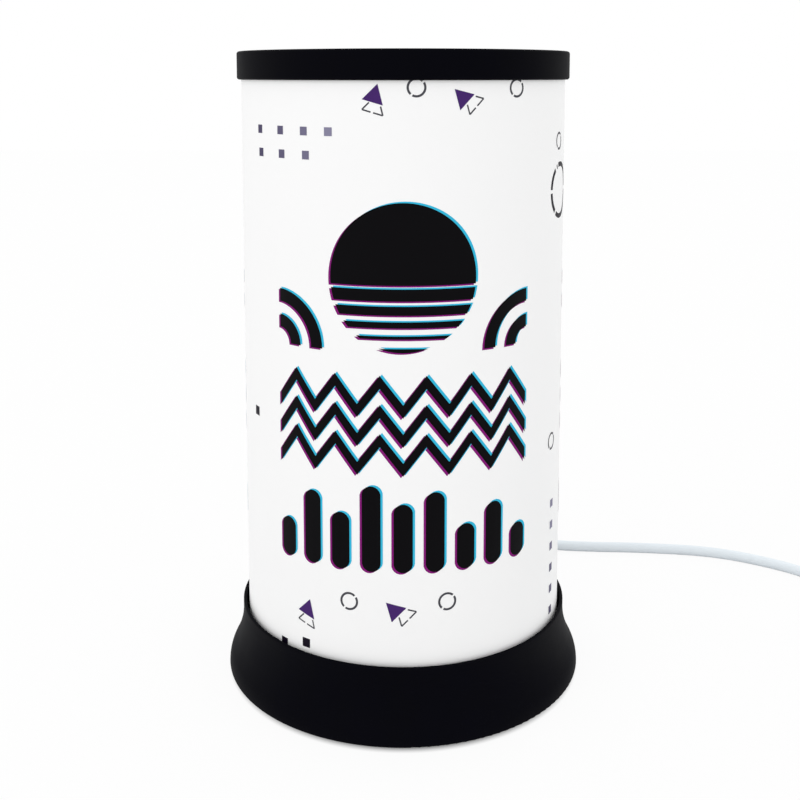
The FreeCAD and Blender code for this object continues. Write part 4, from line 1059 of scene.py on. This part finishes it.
@dataclass(frozen=True)
class Confetti:
    """The small motifs above, below and beside the panels. Places are their centres."""

    triangle_radius: float = 4.16
    upright_turn: float = 74.0
    upright: tuple[tuple[float, float], ...] = ((-9.5, 220.7), (-35.4, 42.2))
    upright_echo: tuple[float, float] = (0.0, -3.3)
    tipped_turn: float = 16.0
    tipped: tuple[tuple[float, float], ...] = ((19.9, 220.1), (-2.9, 46.5))
    tipped_echo: tuple[float, float] = (3.4, -1.4)
    echo_width: float = 0.5
    echo_parts: tuple[tuple[float, float], ...] = ((0.0, 0.42), (0.54, 1.0))
    rings: tuple[tuple[float, float], ...] = ((4.3, 223.5), (41.1, 223.2), (-18.8, 48.7), (15.2, 49.1))
    side_rings: tuple[tuple[float, float], ...] = ((66.9, 95.1), (71.0, 204.2))
    ring_radius: float = 2.85
    ring_width: float = 0.75
    ring_arcs: tuple[tuple[float, float], ...] = ((47.0, 228.0), (242.0, 393.0))
    square_side: float = 2.9
    square_rows: tuple[tuple[float, tuple[float, ...]], ...] = (
        (209.0, (-58.2, -46.0, -35.2, -25.5)),
        (201.0, (-57.6, -45.4, -34.4)),
    )
    column_place: tuple[float, float] = (68.3, 71.2)
    column_step: float = 8.2
    column_tones: tuple[int, ...] = (3, 3, 2, 1, 1, 0)
    dark_squares: tuple[tuple[float, float], ...] = ((-63.8, 107.4), (-46.8, 26.7), (-36.1, 29.8))
    dark_side: float = 3.3
    hoop_place: tuple[float, float] = (73.0, 186.5)
    hoop_radius: float = 9.35
    hoop_width: float = 1.7
    hoop_arcs: tuple[tuple[float, float], ...] = ((184.0, 230.0), (238.0, 356.0), (4.0, 104.0), (112.0, 117.0),
                                                  (127.0, 176.0))

    def draw_triangles(self, filled: Sheet, outlined: Sheet, middle: float) -> None:
        """Draws the triangles of one panel with the broken outlines beneath them.

        Args:
            filled: The sheet for the filled triangles.
            outlined: The sheet for their outlines.
            middle: The panel's middle, to the right of the front.
        """
        kinds = (
            (self.upright, self.upright_turn, self.upright_echo),
            (self.tipped, self.tipped_turn, self.tipped_echo),
        )
        for places, turn, echo in kinds:
            for x, y in places:
                filled.shape(middle + x, y, self.triangle_radius, 3, turn)
                self.draw_echo(outlined, middle + x + echo[0], y + echo[1], turn)

    def draw_echo(self, sheet: Sheet, x: float, y: float, turn: float) -> None:
        """Draws one triangle's outline, broken at the middle of each side.

        Args:
            sheet: The sheet to draw on.
            x: The triangle's centre, to the right.
            y: The triangle's centre's height.
            turn: The angle of its first corner, from the right and anticlockwise.
        """
        angles = [math.radians(turn + 120 * k) for k in range(4)]
        reach = self.triangle_radius
        corners = [Vector((x + reach * math.cos(a), y + reach * math.sin(a))) for a in angles]
        for first, second in zip(corners, corners[1:]):
            for start, end in self.echo_parts:
                sheet.line(first.lerp(second, start), first.lerp(second, end), self.echo_width)

    def draw_rings(self, sheet: Sheet, places: Iterable[tuple[float, float]], middle: float) -> None:
        """Draws small rings, each broken at two places.

        Args:
            sheet: The sheet to draw on.
            places: The rings' centres, from the panel's middle.
            middle: The panel's middle, to the right of the front.
        """
        for x, y in places:
            for start, end in self.ring_arcs:
                sheet.arc(middle + x, y, self.ring_radius, self.ring_width, start, end)

    def draw_fading(self, sheets: Sequence[Sheet]) -> None:
        """Draws the squares that fade along their row or column.

        Args:
            sheets: A sheet for each tone, the darkest first.
        """
        for y, places in self.square_rows:
            for tone, x in enumerate(places):
                sheets[tone].square(x, y, self.square_side)
        x, top = self.column_place
        for number, tone in enumerate(self.column_tones):
            sheets[tone].square(x, top - number * self.column_step, self.square_side)

    def draw_dark(self, sheet: Sheet) -> None:
        """Draws the dark squares and the broken hoop at the side.

        Args:
            sheet: The sheet to draw on.
        """
        for x, y in self.dark_squares:
            sheet.square(x, y, self.dark_side)
        for start, end in self.hoop_arcs:
            sheet.arc(*self.hoop_place, self.hoop_radius, self.hoop_width, start, end)


@dataclass(frozen=True)
class Shade(SubAssembly):
    """The turning shade: its rings, its film and the print on the film, whose sizes are in millimetres."""

    finishes: ClassVar[Mapping[str, Finish]] = {
        "top_ring": BLACK_SHELL,
        "lower_ring": BLACK_SHELL,
        "ring_screws": BLACK_OXIDE,
        "shade_film": WHITE_FILM,
        "seam_strip": CLEAR_STRIP,
    }
    radius: float = 60.0
    panel_middles: tuple[float, ...] = (-133.9, 0.0, 133.9)
    fringe: tuple[float, float] = (0.75, 0.5)
    ink_thickness: float = 0.01
    ink_step: float = 0.02
    strip: float = 2.5
    artwork: Artwork = Artwork()
    confetti: Confetti = Confetti()

    def build(self) -> None:
        """Finishes the rings and the film, and prints on the film."""
        self.dress()
        self.print_artwork()
        self.print_confetti()

    def lay_ink(self, name: str, sheet: Sheet, finish: Finish, layer: int = 0) -> None:
        """Wraps one ink of the print round the film.

        Args:
            name: The piece's name.
            sheet: The flat ink.
            finish: The ink's finish.
            layer: How many inks lie under it.
        """
        lift = self.ink_step * (layer + 1)
        mesh = sheet.wrapped(self.radius, lift, self.ink_thickness, self.strip)
        piece(name, mesh, "rotor", "printed_film", finish)

    def print_artwork(self) -> None:
        """Prints the big motifs in black, over a cyan and a magenta copy that stand out at their edges."""
        black = Sheet()
        for middle in self.panel_middles:
            self.artwork.draw(black, middle)
        right, up = self.fringe
        self.lay_ink("print_magenta", black.moved(-right, -up), MAGENTA_INK)
        self.lay_ink("print_cyan", black.moved(right, up), CYAN_INK, 1)
        self.lay_ink("print_black", black, BLACK_INK, 2)

    def print_confetti(self) -> None:
        """Prints the small motifs."""
        purple, grey, dark = Sheet(), Sheet(), Sheet()
        fading = [Sheet() for _ in FADING_INKS]
        for middle in self.panel_middles:
            self.confetti.draw_triangles(purple, grey, middle)
            self.confetti.draw_rings(grey, self.confetti.rings, middle)
        self.confetti.draw_rings(grey, self.confetti.side_rings, 0.0)
        self.confetti.draw_fading(fading)
        self.confetti.draw_dark(dark)
        self.lay_ink("print_grey", grey, GREY_INK)
        self.lay_ink("print_purple", purple, PURPLE_INK, 1)
        self.lay_ink("print_night", dark, NIGHT_INK)
        for number, (sheet, finish) in enumerate(zip(fading, FADING_INKS)):
            self.lay_ink(f"print_fading_{number}", sheet, finish)


@dataclass(frozen=True)
class Base(SubAssembly):
    """The flared base with its cover and feet, and what fixes the lampholder to it."""

    finishes: ClassVar[Mapping[str, Finish]] = {
        "base_shell": BLACK_SHELL,
        "bottom_cover": BLACK_SHELL,
        "cover_screws": ZINC,
        "foot_1": RUBBER,
        "foot_2": RUBBER,
        "foot_3": RUBBER,
        "foot_4": RUBBER,
        "fixing_nipple": ZINC,
        "nipple_washer": ZINC,
        "nipple_nut": BRASS,
    }


@dataclass(frozen=True)
class Lampholder(SubAssembly):
    """The bulb's holder with its contacts."""

    finishes: ClassVar[Mapping[str, Finish]] = {
        "lampholder_lower": BAKELITE,
        "lampholder_upper": BAKELITE,
        "contact_block": STEATITE,
        "terminals": BRASS,
        "terminal_screws": ZINC,
        "contact_rivets": BRASS,
        "screw_shell": BRASS,
        "centre_contact": BRASS,
    }


@dataclass(frozen=True)
class Bulb(SubAssembly):
    """The bulb whose warm air turns the shade."""

    finishes: ClassVar[Mapping[str, Finish]] = {
        "bulb_cap": NICKEL,
        "bulb_insulator": BLACK_GLASS,
        "bulb_contact": SOLDER,
        "bulb_glass": CLEAR_GLASS,
        "bulb_stem": STEM_GLASS,
        "bulb_filament": TUNGSTEN,
    }


@dataclass(frozen=True)
class Pivot(SubAssembly):
    """The wire frame with its needle, and the fan wheel that turns on it."""

    finishes: ClassVar[Mapping[str, Finish]] = {
        "pivot_frame": STEEL_WIRE,
        "needle_collar": BRASS,
        "collar_screw": ZINC,
        "pivot_needle": NEEDLE_STEEL,
        "pivot_cup": BRASS,
        "hub_cap": BLACK_SHELL,
        "fan_wheel": BLACK_FAN,
    }


@dataclass(frozen=True)
class Wiring(SubAssembly):
    """The lead's end inside the base, under its clamp."""

    finishes: ClassVar[Mapping[str, Finish]] = {
        "cord_inner": WHITE_PVC,
        "core_live": BROWN_PVC,
        "core_neutral": BLUE_PVC,
        "cord_clamp": FIBRE_BOARD,
        "clamp_screws": ZINC,
        "strain_relief": WHITE_PVC,
        "coil_tie": TIE_STRAP,
    }


@dataclass(frozen=True)
class InlineSwitch(SubAssembly):
    """The rocker switch on the lead, with its marks for on and off."""

    finishes: ClassVar[Mapping[str, Finish]] = {
        "switch_base": WHITE_CASE,
        "switch_cover": WHITE_CASE,
        "switch_rocker": ROCKER,
        "contact_bridge": BRASS,
        "rocker_pin": ZINC,
        "switch_contacts": BRASS,
        "switch_screws": ZINC,
    }
    centre: tuple[float, float] = (0.1987, -0.0037)
    pin_height: float = 0.0096
    middle_height: float = 0.0141
    end_height: float = 0.015
    half_length: float = 0.0072
    rest_tilt: float = 8.0
    mark_reach: float = 0.0044
    mark_size: float = 0.0026
    mark_stroke: float = 0.0005
    mark_relief: float = 0.0001
    ring_steps: int = 32

    def build(self) -> None:
        """Finishes the switch and marks its rocker."""
        self.dress()
        self.mark("rocker_mark_on", self.bar(), 1)
        self.mark("rocker_mark_off", self.ring(), -1)

    def bar(self) -> bmesh.types.BMesh:
        """The mark for on.

        Returns:
            A bar about the origin, 1 m high.
        """
        mesh = bmesh.new()
        bmesh.ops.create_cube(mesh, size=1.0, matrix=Matrix.Diagonal((self.mark_stroke, self.mark_size, 1.0, 1.0)))
        return mesh

    def ring(self) -> bmesh.types.BMesh:
        """The mark for off.

        Returns:
            A ring about the origin, 1 m high.
        """
        mesh = bmesh.new()
        place = Matrix.Translation(((self.mark_size - self.mark_stroke) / 2, 0.0, 0.0))
        upright = Matrix.Rotation(math.pi / 2, 4, "X")
        narrow = Matrix.Diagonal((self.mark_stroke, 1.0, 1.0, 1.0))
        bmesh.ops.create_grid(mesh, x_segments=1, y_segments=1, size=0.5, matrix=place @ upright @ narrow)
        bmesh.ops.spin(mesh, geom=[*mesh.verts, *mesh.edges, *mesh.faces], cent=(0.0, 0.0, 0.0),
                       axis=(0.0, 0.0, 1.0), angle=math.tau, steps=self.ring_steps, use_merge=True)
        return mesh

    def mark(self, name: str, mesh: bmesh.types.BMesh, side: int) -> None:
        """Lays a mark on one half of the rocker's dished top.

        Args:
            name: The piece's name.
            mesh: The mark, 1 m high and about the origin.
            side: 1 for the half towards -Y, and -1 for the other.
        """
        slope = math.atan2(self.end_height - self.middle_height, self.half_length)
        pin = Matrix.Translation((*self.centre, self.pin_height))
        along = Matrix.Rotation(math.radians(-90), 4, "Z")
        tilt = Matrix.Rotation(math.radians(-self.rest_tilt), 4, "Y")
        middle = Matrix.Translation((0.0, 0.0, self.middle_height - self.pin_height))
        half = Matrix.Rotation(-side * slope, 4, "Y") @ Matrix.Translation((side * self.mark_reach, 0.0, 0.0))
        low = Matrix.Diagonal((1.0, 1.0, self.mark_relief, 1.0))
        bmesh.ops.transform(mesh, matrix=pin @ along @ tilt @ middle @ half @ low, verts=mesh.verts)
        piece(name, mesh, "rocker", "rocker_plastic", ROCKER_MARK)


@dataclass(frozen=True)
class Plug(SubAssembly):
    """The flat plug at the lead's far end."""

    finishes: ClassVar[Mapping[str, Finish]] = {
        "plug_body": WHITE_CASE,
        "pin_sleeves": WHITE_CASE,
        "plug_pins": NICKEL,
    }


def main() -> None:
    """Builds the lamp's looks, part by part."""
    logging.basicConfig(level=logging.INFO, format="%(message)s")
    bpy.context.scene.view_settings.view_transform = "Standard"
    Studio().build()
    Lead().build()
    for part in (Wiring(), Base(), Lampholder(), Bulb(), Pivot(), Shade(), InlineSwitch(), Plug()):
        log.info("%s", type(part).__name__)
        part.build()
    with open("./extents.json", "w", encoding="utf-8") as sizes:
        json.dump({"cad": [list(c) for c in cad_box], "visual": [list(c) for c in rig.bounds()]}, sizes)


if __name__ == "__main__":
    main()
